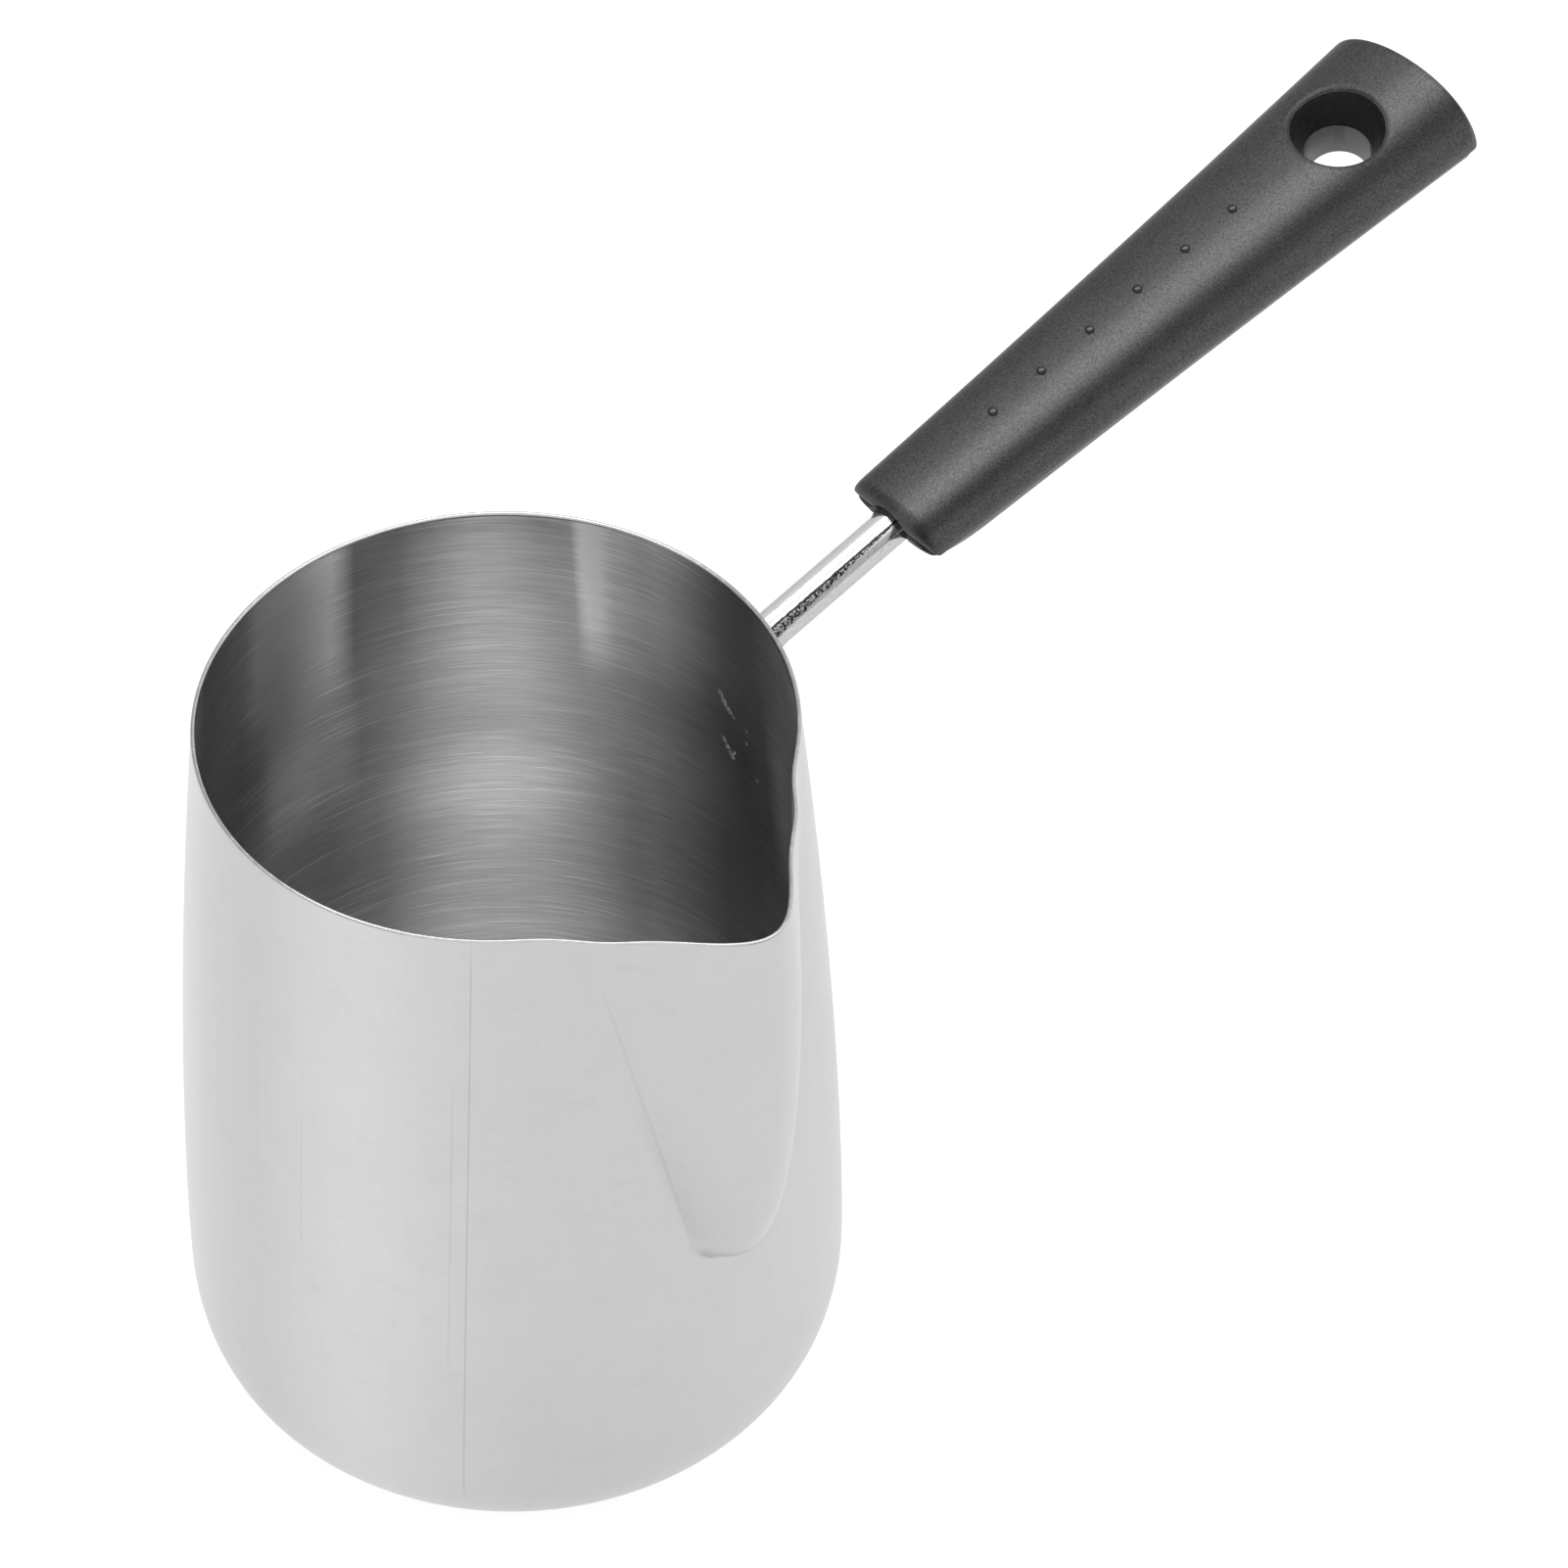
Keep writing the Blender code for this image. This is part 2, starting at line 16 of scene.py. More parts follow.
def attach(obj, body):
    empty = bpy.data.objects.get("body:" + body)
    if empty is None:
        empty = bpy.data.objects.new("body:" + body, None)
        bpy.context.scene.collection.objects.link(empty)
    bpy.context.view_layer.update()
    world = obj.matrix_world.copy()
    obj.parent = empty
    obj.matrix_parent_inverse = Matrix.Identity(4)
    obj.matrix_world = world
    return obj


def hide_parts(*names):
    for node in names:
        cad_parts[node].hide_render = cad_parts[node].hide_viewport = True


GAP = 0.0003  # air between neighbours

# Pot: a drawn sheet, widest low down, with a V-shaped spout pressed into its wall.
POT_HEIGHT = 0.1237
RIM_RADIUS, BELLY_RADIUS, BASE_RADIUS = 0.0420, 0.0483, 0.0310
BELLY_HEIGHT = 0.0200
CORNER_POWER, NECK_POWER = 2.5, 1.67
SHEET = 0.0007
SPOUT_ANGLE = math.radians(-90)
SPOUT_REACH, SPOUT_LOW_REACH = 0.0141, 0.0104
SPOUT_MOUTH_HALF_WIDTH, SPOUT_FOOT_HALF_WIDTH = 0.0238, 0.0078
SPOUT_FOOT_START, SPOUT_DEPTH = 0.0638, 0.0710  # below the rim
NOSE_SOFTNESS_MOUTH, NOSE_SOFTNESS_FOOT = 0.092, 0.26
BLEND_MOUTH, BLEND_FOOT = 0.0021, 0.0005
WAVE_CENTRE, WAVE_REACH = 19.0, 15.0  # degrees to either side of the spout's middle
WAVE_NODE, WAVE_PERIOD = 31.0, 24.0
WAVE_SIZE, WAVE_DEPTH = 0.00050, 0.0050
POT_COLUMNS = 480  # points round each ring
BASE_ROWS, CORNER_ROWS, WALL_ROWS, EDGE_ROWS = 10, 26, 170, 7
CORNER_CROWDING = 1.2
BASE_MIDDLE = 0.02  # the smallest ring, as a share of the base's radius
NEARLY_ONE = 0.9999  # keeps a sliver of width at the spout's foot

# Rod: a round bar bent down along the wall and welded to it in two places.
ROD_RADIUS = 0.0030
ROD_SLOPE = math.radians(11.7)
ROD_BEND_RADIUS = 0.0070
ROD_TAIL_LOWEST = 0.0780
ROD_TAIL_TILT = math.radians(4.4)
ROD_END_ROUNDING = 0.0006
ROD_SEGMENTS = 64
ROD_STEPS, BEND_STEPS, ROD_END_STEPS = 30, 40, 5
WELD_HEIGHTS = {"upper": 0.0984, "lower": 0.0842}
WELD_SIZE = (0.0026, 0.0030, 0.0005)  # half sizes across, along and into the gap
WELD_WOBBLE, WELD_LOBES = 0.07, 5
WELD_SEGMENTS, BALL_SEGMENTS = 48, 32
# Scuffs inside the wall, painted bright as highlights, as (degrees, below the rim) from end to end; specks
# are single points.
MARK_STROKES = (
    ((2.5, 0.0253), (1.9, 0.0263)),
    ((1.8, 0.0266), (1.1, 0.0279)),
    ((1.1, 0.0278), (-0.4, 0.0288)),
    ((3.0, 0.0354), (2.1, 0.0362)),
    ((1.9, 0.0366), (1.4, 0.0374)),
    ((1.1, 0.0376), (0.2, 0.0388)),
)
MARK_SPECKS = ((-4.5, 0.0300), (-4.1, 0.0328), (-6.5, 0.0394), (-0.2, 0.0372), (-0.9, 0.0292))
MARK_WIDTH, MARK_RISE, SPECK_RADIUS = 0.00055, 0.00006, 0.00028
MARK_HALF_LENGTH, MARK_RAGGEDNESS = 0.62, 0.22  # over the stroke's length, so that strokes overlap
TANG_START, TANG_FULL, TANG_END = 0.0160, 0.0220, 0.0390
TANG_HALF_WIDTH, TANG_HALF_THICKNESS = 0.0043, 0.0015

# Grip: an upper and a lower shell that meet at a seam.
GRIP_FRONT = Vector((0.0754, 0.0, 0.1112))
GRIP_LENGTH = 0.1117
GRIP_FRONT_HALF_WIDTH, GRIP_FLARE, GRIP_FLARE_GROWTH = 0.0088, 0.037, 0.115
LOWER_NARROWING = 0.0008
SEAM_START, SEAM_FALL = 0.0016, 0.0345
UPPER_DEPTH, UPPER_DEPTH_GAIN = 0.00395, 0.020
LOWER_DEPTH = 0.0080
UPPER_POWER, LOWER_POWER = 2.5, 2.0
UPPER_FRONT_ROUNDING, UPPER_FRONT_POWER = 0.0025, 3.0
LOWER_FRONT_ROUNDING, LOWER_FRONT_POWER = 0.0115, 2.0
END_ROUNDING, END_POWER = 0.0014, 2.0
FRONT_CORNER, END_CORNER, END_BOW = 0.0020, 0.0034, 0.0024
CORNER_SQUARENESS = 7.0
SEAM_EDGE, SEAM_EDGE_RUNOUT = 0.00025, 0.0020  # rounding of each shell's edge at the seam
RISES_NEAR_SEAM = (0.0, 0.002, 0.006, 0.012, 0.02, 0.03, 0.042, 0.056, 0.075)
GRIP_SIDE_ROWS, GRIP_FRONT_ROWS, GRIP_MIDDLE_ROWS, GRIP_END_ROWS = 34, 22, 180, 12
GRIP_SHARP_ANGLE = math.radians(38)
DOT_RADIUS, DOT_RISE = 0.00075, 0.00045
DOT_POWER, DOT_SINK = 3.0, 0.00005
DOT_FIRST, DOT_PITCH, DOT_COUNT = 0.0222, 0.01004, 6
DOT_OFFSET, HOLE_OFFSET = 0.0016, 0.0008  # off the grip's middle line
HOLE_CENTRE = 0.0941
HOLE_MOUTH_RADIUS, HOLE_SEAM_RADIUS, HOLE_THROAT_RADIUS = 0.0073, 0.0050, 0.0045
HOLE_THROAT_DEPTH = 0.0058
THROAT_EASE = 0.0004
SEAM_CHAMFER, SEAM_CHAMFER_OUT = 0.0003, 0.0002
MOUTH_FILLET, FILLET_TURN, FILLET_STEPS = 0.00035, math.radians(65), 5
BORE_RADIUS, BORE_DEPTH = 0.0032, 0.0180
BORE_FLARE, BORE_FLARE_DEPTH = 0.0009, 0.0012
SCREW_PLACES = (0.0300, 0.0700)
WELL_RADIUS, WELL_TOP = 0.0030, -0.0042
WELL_CHAMFER, WELL_CHAMFER_OUT = 0.0004, 0.0003
# How the cutters of the holes reach past the faces that they cut.
OVERCUT_SHORT, OVERCUT_LONG = 0.0020, 0.0030
BORE_FLARE_PAST_SKIN, WELL_RADIUS_PAST_SKIN = 0.0010, 0.0008
CUTTER_LIP, CUTTER_LIP_RISES = 0.0010, (0.0004, 0.0040)
FOLLOW_SHARE, FOLLOW_RISE = 0.95, 1.2  # limits to how far the hole's cutter follows the grip's back
HOLE_SEGMENTS, BORE_SEGMENTS, WELL_SEGMENTS = 96, 64, 48

# Painted reflection and shade round the wall, as (degrees from the handle, reflectance) pairs, outside
# first.
OUTSIDE_PAINTED_LIGHT = (
    (-180, 0.52), (-172, 0.56), (-163, 0.60), (-155, 0.60), (-145, 0.56), (-130, 0.525), (-100, 0.53),
    (-60, 0.54), (-20, 0.52), (40, 0.58), (90, 0.54), (130, 0.56), (150, 0.585), (162, 0.52), (180, 0.52),
)
# Painted reflection bands and shade on the inside, at three heights.
INSIDE_PAINTED_LIGHT_HIGH = (
    (-180, 0.85), (-95, 0.95), (-28, 0.95), (-20, 0.82), (-10, 0.33), (-5, 0.30), (0, 0.36), (5, 0.49),
    (10, 0.64), (15, 0.72), (20, 0.64), (26, 0.72), (29, 1.00), (31.8, 1.00), (33.2, 0.50), (35, 0.43),
    (40, 0.35), (54, 0.33), (62, 0.26), (66.5, 0.225), (67.5, 0.205), (77.8, 0.22), (79, 0.44), (83, 0.96),
    (98, 1.00), (101, 0.95), (106, 0.56), (125, 0.46), (145, 0.80), (180, 0.85),
)
INSIDE_PAINTED_LIGHT_MIDDLE = (
    (-180, 0.85), (-90, 0.97), (-40, 0.97), (-20, 0.95), (-15, 0.85), (-10, 0.31), (-3, 0.245), (10, 0.30),
    (20, 0.35), (30, 0.42), (45, 0.38), (55, 0.34), (70, 0.23), (76, 0.22), (80, 0.36), (85, 0.52),
    (90, 0.78), (96, 0.95), (100, 0.62), (106, 0.50), (140, 0.70), (180, 0.85),
)
INSIDE_PAINTED_LIGHT_LOW = (
    (-180, 0.85), (-90, 0.97), (-40, 0.97), (-20, 0.45), (-10, 0.24), (-5, 0.16), (4, 0.14), (20, 0.34),
    (25, 0.35), (33, 0.54), (38, 0.62), (42, 0.67), (50, 0.69), (56, 0.63), (73, 0.33), (83, 0.31),
    (92, 0.40), (102, 0.44), (140, 0.70), (180, 0.85),
)
# The low shades hold up to the first height, the middle ones between the next two, the high ones above.
INSIDE_PAINTED_LIGHT_HEIGHTS = (0.060, 0.081, 0.086, 0.107)
# Painted highlight and shade across the grip, as factors on its colour, from its far edge (-1) to the
# spout's side (1).
GRIP_PAINTED_LIGHT = (
    (-1.0, 0.90), (-0.4, 0.74), (-0.10, 0.80), (0.06, 1.20), (0.22, 1.45), (0.38, 1.25), (0.52, 0.55),
    (0.66, 0.42), (0.78, 0.75), (0.90, 1.10), (1.0, 1.20),
)
# Painted reflection across the bar, as reflectance from its far edge (-1) to the edge on the spout's side
# (1).
ROD_PAINTED_REFLECTION = (
    (-1.0, 0.78), (-0.80, 0.90), (-0.42, 0.93), (-0.36, 1.00), (-0.05, 1.00), (-0.02, 0.06),
    (0.05, 0.06), (0.09, 0.72), (0.30, 0.55), (0.85, 0.52), (1.0, 0.42),
)
# Dark band with bright flecks along the bar, painted and made rougher, in radii from its middle.
DARK_BAND_START, DARK_BAND_WIDTH_AT_WALL, DARK_BAND_WIDTH_AT_GRIP = 0.05, 0.66, 0.02
# Lines up the outside, three from the drawing die and then painted shade along the spout's crease: angle
# at the rim, radians of lean per metre, half width in radians, lowest and highest point, and what is left
# of the reflectance.
DIE_LINES_AND_CREASE_SHADE = (
    (-136.2, 0.79, 0.0032, (0.010, 0.124), 0.80),
    (-139.1, 0.79, 0.0026, (0.040, 0.099), 0.86),
    (-168.9, 0.36, 0.0024, (0.050, 0.102), 0.90),
    # painted shade along the spout's crease
    (-116.0, -4.55, 0.0060, (0.055, 0.116), 0.93),
)
DARK_LINE_CORE, DARK_LINE_FADE = 0.3, 0.006  # full strength within this share; metres to fade at the ends
BRUSHING_STRETCH = 0.014
NOISE_LOW, NOISE_HIGH = 0.3, 0.7  # nearly all of a noise's values lie between these

# Colours, and (grey, roughness) of the polished plastic.
WHITE = (1.0, 1.0, 1.0)
# The marks' pale colour is partly a painted highlight.
RIM_COLOUR, WELD_MARK_AND_HIGHLIGHT_COLOUR = (0.50, 0.50, 0.50), (0.80, 0.80, 0.80)
WELD_COLOUR, ZINC_COLOUR = (0.52, 0.50, 0.48), (0.60, 0.61, 0.63)
GRIP_COLOUR, FLOOR_COLOUR = (0.030, 0.030, 0.032), (0.26, 0.26, 0.26)
# The throat's pale grey is a painted reflection on the lower shell's side of the hanging hole.
HOLE_FINISH, THROAT_PAINTED_SHEEN, DOT_FINISH = (0.018, 0.26), (0.13, 0.45), (0.014, 0.20)
SURFACE_INPUTS = {
    "roughness": "Roughness",
    "metallic": "Metallic",
    "normal": "Normal",
    "specular": "Specular IOR Level",
}

# Camera and stage.
CAMERA_PLACE = Vector((-0.4309, -0.5135, 0.7902))
CAMERA_FORWARD = Vector((0.4822, 0.5100, -0.7124))
CAMERA_LENS, SENSOR, CAMERA_SIGHT = 157.4, 36.0, 20.0
FLOOR_SIZE, FLOOR_DROP = 6.0, 0.0002
FLOOR_GLOW = 0.84  # light-table floor, which keeps the shadow soft
# Brightness of the room by the Y part of the direction, from the spout's side to the other.
SKY_LEVELS = (
    (-1.0, 0.70), (-0.82, 0.75), (-0.72, 1.25), (-0.42, 1.25), (-0.30, 1.0), (0.02, 0.9), (0.12, 0.9),
    (0.20, 1.1), (0.34, 1.0), (0.42, 0.8), (0.60, 0.70), (1.0, 0.55),
)
SOFTBOX_PLACE, SOFTBOX_AIM = Vector((0.32, 0.42, 1.55)), Vector((0.10, 0.0, 0.12))
SOFTBOX_SIZE, SOFTBOX_POWER = (1.1, 0.42), 9.0

# The grip is turned a little about the bar and sits a little to the spout's side.
GRIP_ROLL = math.radians(5.2)
GRIP_SIDE_SHIFT = 0.0013
BAR_FRAME = Matrix.Translation(GRIP_FRONT) @ Matrix.Rotation(-ROD_SLOPE, 4, "Y")
BAR_FRAME = BAR_FRAME @ Matrix.Rotation(GRIP_ROLL, 4, "X")
GRIP_FRAME = BAR_FRAME @ Matrix.Translation((0, -GRIP_SIDE_SHIFT, 0))


# ---------------------------------------------------------------- node materials


def fill_ramp(node, stops):
    """Gives a colour ramp node its (place, grey) stops, in rising order."""
    elements = node.color_ramp.elements
    while len(elements) < len(stops):
        elements.new(0.5)
    for element, (place, grey) in zip(elements, stops):
        element.position = place
        element.color = (grey, grey, grey, 1.0)


def ramp_stops(pairs, low, high, top=1.0):
    """Stops from (place, value) pairs, for places from low to high and values up to top."""
    return [((place - low) / (high - low), value / top) for place, value in pairs]


class Shader:
    """A small helper that adds nodes to one material and links them."""

    def __init__(self, name):
        self.material = bpy.data.materials.new(name)
        self.material.use_nodes = True
        self.tree = self.material.node_tree
        self.surface = self.tree.nodes["Principled BSDF"]

    def add(self, kind, values=None, **settings):
        node = self.tree.nodes.new(kind)
        for key, value in settings.items():
            setattr(node, key, value)
        for socket, value in (values or {}).items():
            self.feed(node, socket, value)
        return node

    def feed(self, node, socket, value):
        """Links or sets one input, from a socket, a node's first output or a plain value."""
        target = node.inputs[socket]
        if isinstance(value, bpy.types.NodeSocket):
            self.tree.links.new(value, target)
        elif isinstance(value, bpy.types.Node):
            self.tree.links.new(value.outputs[0], target)
        else:
            target.default_value = value

    def math(self, operation, first, second=0.0):
        return self.add("ShaderNodeMath", {0: first, 1: second}, operation=operation).outputs[0]

    def times(self, first, *factors):
        for factor in factors:
            first = self.math("MULTIPLY", first, factor)
        return first

    def plus(self, first, second):
        return self.math("ADD", first, second)

    def minus(self, first, second):
        return self.math("SUBTRACT", first, second)

    def place(self, x=1.0, y=1.0, z=1.0):
        """The point in the object's own frame, which is the part's, with each axis stretched."""
        inputs = {0: self.add("ShaderNodeTexCoord").outputs["Object"], 1: (x, y, z)}
        return self.add("ShaderNodeVectorMath", inputs, operation="MULTIPLY").outputs[0]

    def position(self):
        """X, Y and Z of the point."""
        return self.add("ShaderNodeSeparateXYZ", {0: self.place()}).outputs

    def vector(self, x, y, z):
        return self.add("ShaderNodeCombineXYZ", {0: x, 1: y, 2: z}).outputs[0]

    def offset_from(self, origin):
        """The vector from a fixed point to the shaded point."""
        inputs = {0: self.place(), 1: origin}
        return self.add("ShaderNodeVectorMath", inputs, operation="SUBTRACT").outputs[0]

    def dot(self, first, second):
        node = self.add("ShaderNodeVectorMath", {0: first, 1: second}, operation="DOT_PRODUCT")
        return node.outputs["Value"]

    def noise(self, vector, scale, detail=3.0, roughness=0.55):
        values = {"Vector": vector, "Scale": scale, "Detail": detail, "Roughness": roughness}
        return self.add("ShaderNodeTexNoise", values).outputs[0]

    def ramp(self, factor, stops, interpolation="LINEAR"):
        """Grey values over a factor from 0 to 1."""
        node = self.add("ShaderNodeValToRGB", {0: factor})
        node.color_ramp.interpolation = interpolation
        fill_ramp(node, stops)
        return node.outputs[0]

    def span(self, value, low, high, first=0.0, last=1.0, smooth=False):
        """Maps value from low..high to first..last, held at the ends."""
        kind = "SMOOTHSTEP" if smooth else "LINEAR"
        inputs = {"Value": value, "From Min": low, "From Max": high, "To Min": first, "To Max": last}
        return self.add("ShaderNodeMapRange", inputs, interpolation_type=kind).outputs[0]

    def varied(self, noise, first, last):
        """A noise turned into values from first to last."""
        return self.span(noise, NOISE_LOW, NOISE_HIGH, first, last)

    def blend(self, factor, first, last):
        """A number that goes from first to last as the factor goes from 0 to 1."""
        node = self.add("ShaderNodeMix", data_type="FLOAT")
        for socket, value in ((0, factor), (2, first), (3, last)):
            self.feed(node, socket, value)
        return node.outputs[0]

    def bump(self, height, distance, strength=1.0, normal=None):
        values = {"Height": height, "Distance": distance, "Strength": strength}
        if normal is not None:
            values["Normal"] = normal
        return self.add("ShaderNodeBump", values).outputs[0]

    def tint(self, colour, factor):
        """A colour multiplied by a grey factor."""
        mixed = self.add("ShaderNodeMix", data_type="RGBA", blend_type="MULTIPLY")
        for socket, value in ((0, 1.0), (6, (*colour, 1.0)), (7, factor)):
            self.feed(mixed, socket, value)
        return mixed.outputs[2]

    def finish(self, colour, shade, **inputs):
        """Feeds the surface with a shaded colour and the other inputs, by their usual names."""
        self.feed(self.surface, "Base Color", self.tint(colour, shade))
        for key, value in inputs.items():
            self.feed(self.surface, SURFACE_INPUTS[key], value)
        return self.material


def turn_angle(s, xyz):
    """The angle about the pot's axis, from -pi to pi, and the same as a factor from 0 to 1."""
    angle = s.math("ARCTAN2", xyz[1], xyz[0])
    return angle, s.span(angle, -math.pi, math.pi)


# Painted light and shade round the wall, from (degrees, reflectance) pairs.
def painted_light_round_wall(s, turn, tones, interpolation="LINEAR"):
    return s.ramp(turn, ramp_stops(tones, -180.0, 180.0), interpolation)


def line_mask(s, angle, height, top, lean, half_width, span):
    """1 on a thin line up the wall; top is its angle at the rim, span its lowest and highest point."""
    drift = s.times(s.minus(height, POT_HEIGHT), lean)
    away = s.minus(s.minus(angle, math.radians(top)), drift)
    core = s.span(s.math("ABSOLUTE", away), half_width, half_width * DARK_LINE_CORE, smooth=True)
    low, high = span
    fade_in = s.span(height, low, low + DARK_LINE_FADE)
    fade_out = s.span(height, high, high - DARK_LINE_FADE)
    return s.times(core, fade_in, fade_out)


def outside_steel():
    """Satin sheet: soft painted bands of reflection, faint clouding, a few die lines and painted shade at
    the crease.
    """
    s = Shader("pot_outside")
    xyz = s.position()
    angle, turn = turn_angle(s, xyz)
    lines = s.noise(s.place(z=0.02), 900.0, 2.0)
    grain = s.noise(s.place(x=0.3, z=2.0), 1400.0, 3.0)
    clouds = s.noise(s.place(), 70.0, 5.0, 0.65)
    patches = s.noise(s.place(z=2.5), 160.0, 4.0, 0.6)
    shade = s.times(
        painted_light_round_wall(s, turn, OUTSIDE_PAINTED_LIGHT, "B_SPLINE"),
        s.varied(clouds, 0.972, 1.024),
        s.span(patches, 0.56, 0.72, 1.0, 0.965),
        s.varied(lines, 0.992, 1.006),
        s.varied(grain, 0.985, 1.012),
    )
    # Die lines, and the painted shade along the spout's crease.
    for top, lean, half_width, span, left in DIE_LINES_AND_CREASE_SHADE:
        mask = line_mask(s, angle, xyz[2], top, lean, half_width, span)
        shade = s.times(shade, s.span(mask, 0.0, 1.0, 1.0, left))
    rough = s.plus(s.varied(clouds, 0.32, 0.40), s.varied(grain, -0.02, 0.02))
    normal = s.bump(lines, 0.00001, 0.4, s.bump(grain, 0.00001, 0.4))
    return s.finish(WHITE, shade, roughness=rough, metallic=1.0, normal=normal)


def inside_steel():
    """Sheet brushed round and round, with upright bands of reflection and shade painted into its colour.
    """
    s = Shader("pot_inside")
    xyz = s.position()
    angle, turn = turn_angle(s, xyz)
    # Brushing lines: noise drawn out round the wall, in sets that cross at small angles.
    flat_x, flat_y = s.times(xyz[0], BRUSHING_STRETCH), s.times(xyz[1], BRUSHING_STRETCH)
    rising = s.plus(xyz[2], s.times(xyz[0], 0.05))
    falling = s.minus(xyz[2], s.times(xyz[1], 0.07))
    steep = s.plus(xyz[2], s.times(xyz[1], 0.16))
    fine = s.noise(s.vector(flat_x, flat_y, rising), 6500.0, 2.0, 0.65)
    crossing = s.noise(s.vector(flat_y, flat_x, falling), 4800.0, 2.0, 0.6)
    scratches = s.noise(s.vector(flat_x, flat_y, steep), 3600.0, 1.0, 0.5)
    broad = s.noise(s.vector(flat_x, flat_y, xyz[2]), 500.0, 3.0, 0.6)
    # Painted reflection bands and shade, blended from low to high up the wall.
    low = painted_light_round_wall(s, turn, INSIDE_PAINTED_LIGHT_LOW)
    middle = painted_light_round_wall(s, turn, INSIDE_PAINTED_LIGHT_MIDDLE)
    high = painted_light_round_wall(s, turn, INSIDE_PAINTED_LIGHT_HIGH)
    low_end, middle_start, middle_end, high_start = INSIDE_PAINTED_LIGHT_HEIGHTS
    lower = s.blend(s.span(xyz[2], low_end, middle_start, smooth=True), low, middle)
    painted_light = s.blend(s.span(xyz[2], middle_end, high_start, smooth=True), lower, high)
    # Single scratches show most on the side away from the bar.
    weak, strong = math.radians(50), math.radians(95)
    scratch_gain = s.span(angle, weak, strong, 1.15, 1.8, smooth=True)
    shade = s.times(
        painted_light,
        s.span(fine, 0.3, 0.72, 0.84, 1.22),
        s.span(crossing, 0.55, 0.74, 1.0, 1.5),
        s.blend(s.span(scratches, 0.66, 0.74), 1.0, scratch_gain),
        s.varied(broad, 0.97, 1.03),
    )
    normal = s.bump(fine, 0.00001, 0.12)
    return s.finish(WHITE, shade, roughness=s.varied(broad, 0.30, 0.33), metallic=1.0, normal=normal)


def rim_steel():
    """The cut edge of the sheet, dressed and polished."""
    s = Shader("pot_rim")
    nicks = s.noise(s.place(), 700.0, 3.0)
    rough = s.span(nicks, 0.35, 0.7, 0.12, 0.28)
    normal = s.bump(nicks, 0.00003, 0.5)
    shade = s.varied(nicks, 0.92, 1.05)
    return s.finish(RIM_COLOUR, shade, roughness=rough, metallic=1.0, normal=normal)


def across_bar(s):
    """How far a point lies across the bar as the camera sees it, in radii from its middle."""
    axis = BAR_FRAME.to_3x3().col[0]
    side = CAMERA_FORWARD.cross(axis).normalized()
    return s.math("DIVIDE", s.dot(s.offset_from(GRIP_FRONT), side), ROD_RADIUS)


def bright_steel():
    """Drawn bar with painted reflection across it: bright along its back, a thin dark line, a rougher dark
    band on the spout's side.
    """
    s = Shader("rod_bright")
    xyz = s.position()
    pits = s.noise(s.place(), 1600.0, 3.0, 0.6)
    scale = s.noise(s.place(), 3000.0, 2.0, 0.65)
    along = s.noise(s.place(x=0.05), 2200.0, 2.0)
    across = s.plus(across_bar(s), s.varied(pits, -0.02, 0.02))
    painted_light = s.ramp(s.span(across, -1.0, 1.0), ramp_stops(ROD_PAINTED_REFLECTION, -1.0, 1.0))
    # The painted dark band narrows from the wall to the grip and is dark with bright flecks.
    width = s.span(xyz[0], RIM_RADIUS, GRIP_FRONT.x, DARK_BAND_WIDTH_AT_WALL, DARK_BAND_WIDTH_AT_GRIP)
    ragged = s.plus(s.math("DIVIDE", s.minus(across, DARK_BAND_START), width), scale)
    band = s.times(s.span(ragged, 1.55, 1.35), s.span(across, DARK_BAND_START - 0.03, DARK_BAND_START))
    flecks = s.span(scale, 0.46, 0.62, 0.03, 0.75)
    speckle = s.blend(s.span(across, 0.08, 0.16), 1.0, s.span(scale, 0.55, 0.68, 1.0, 0.72))
    shade = s.times(painted_light, s.varied(along, 0.95, 1.03), s.blend(band, speckle, flecks))
    rough = s.plus(s.varied(pits, 0.09, 0.16), s.times(band, 0.2))
    normal = s.bump(pits, 0.00003, 0.35, s.bump(along, 0.00001, 0.4))
    return s.finish(WHITE, shade, roughness=rough, metallic=1.0, normal=normal)


def weld_steel():
    """Fused metal, duller and pebbled."""
    s = Shader("weld_metal")
    lumps = s.noise(s.place(), 1200.0, 4.0)
    heat = s.noise(s.place(), 300.0, 2.0)
    shade = s.span(heat, 0.35, 0.65, 0.7, 1.0)
    normal = s.bump(lumps, 0.0001, 0.6)
    return s.finish(WELD_COLOUR, shade, roughness=0.34, metallic=1.0, normal=normal)


def weld_mark_and_highlight_steel():
    """Mottled scuffs where the welding electrodes pressed on the inside of the wall, painted bright as
    their highlights.
    """
    s = Shader("weld_mark_highlight_metal")
    scuff = s.noise(s.place(), 2600.0, 3.0, 0.65)
    shade = s.span(scuff, 0.38, 0.62, 0.35, 1.2)
    normal = s.bump(scuff, 0.00008, 0.7)
    return s.finish(WELD_MARK_AND_HIGHLIGHT_COLOUR, shade, roughness=0.30, metallic=1.0, normal=normal)


def across_grip(s):
    """How far a point lies across the grip, from -1 to 1 over its width at that reach."""
    from_front = s.offset_from(GRIP_FRONT)
    along, away_from_spout = GRIP_FRAME.to_3x3().transposed()[:2]
    reach = s.dot(from_front, along)
    side = s.minus(s.dot(from_front, -away_from_spout), GRIP_SIDE_SHIFT)
    growth = s.plus(s.times(reach, GRIP_FLARE_GROWTH), GRIP_FLARE)
    width = s.plus(s.times(reach, growth), GRIP_FRONT_HALF_WIDTH)
    return s.math("DIVIDE", side, width)


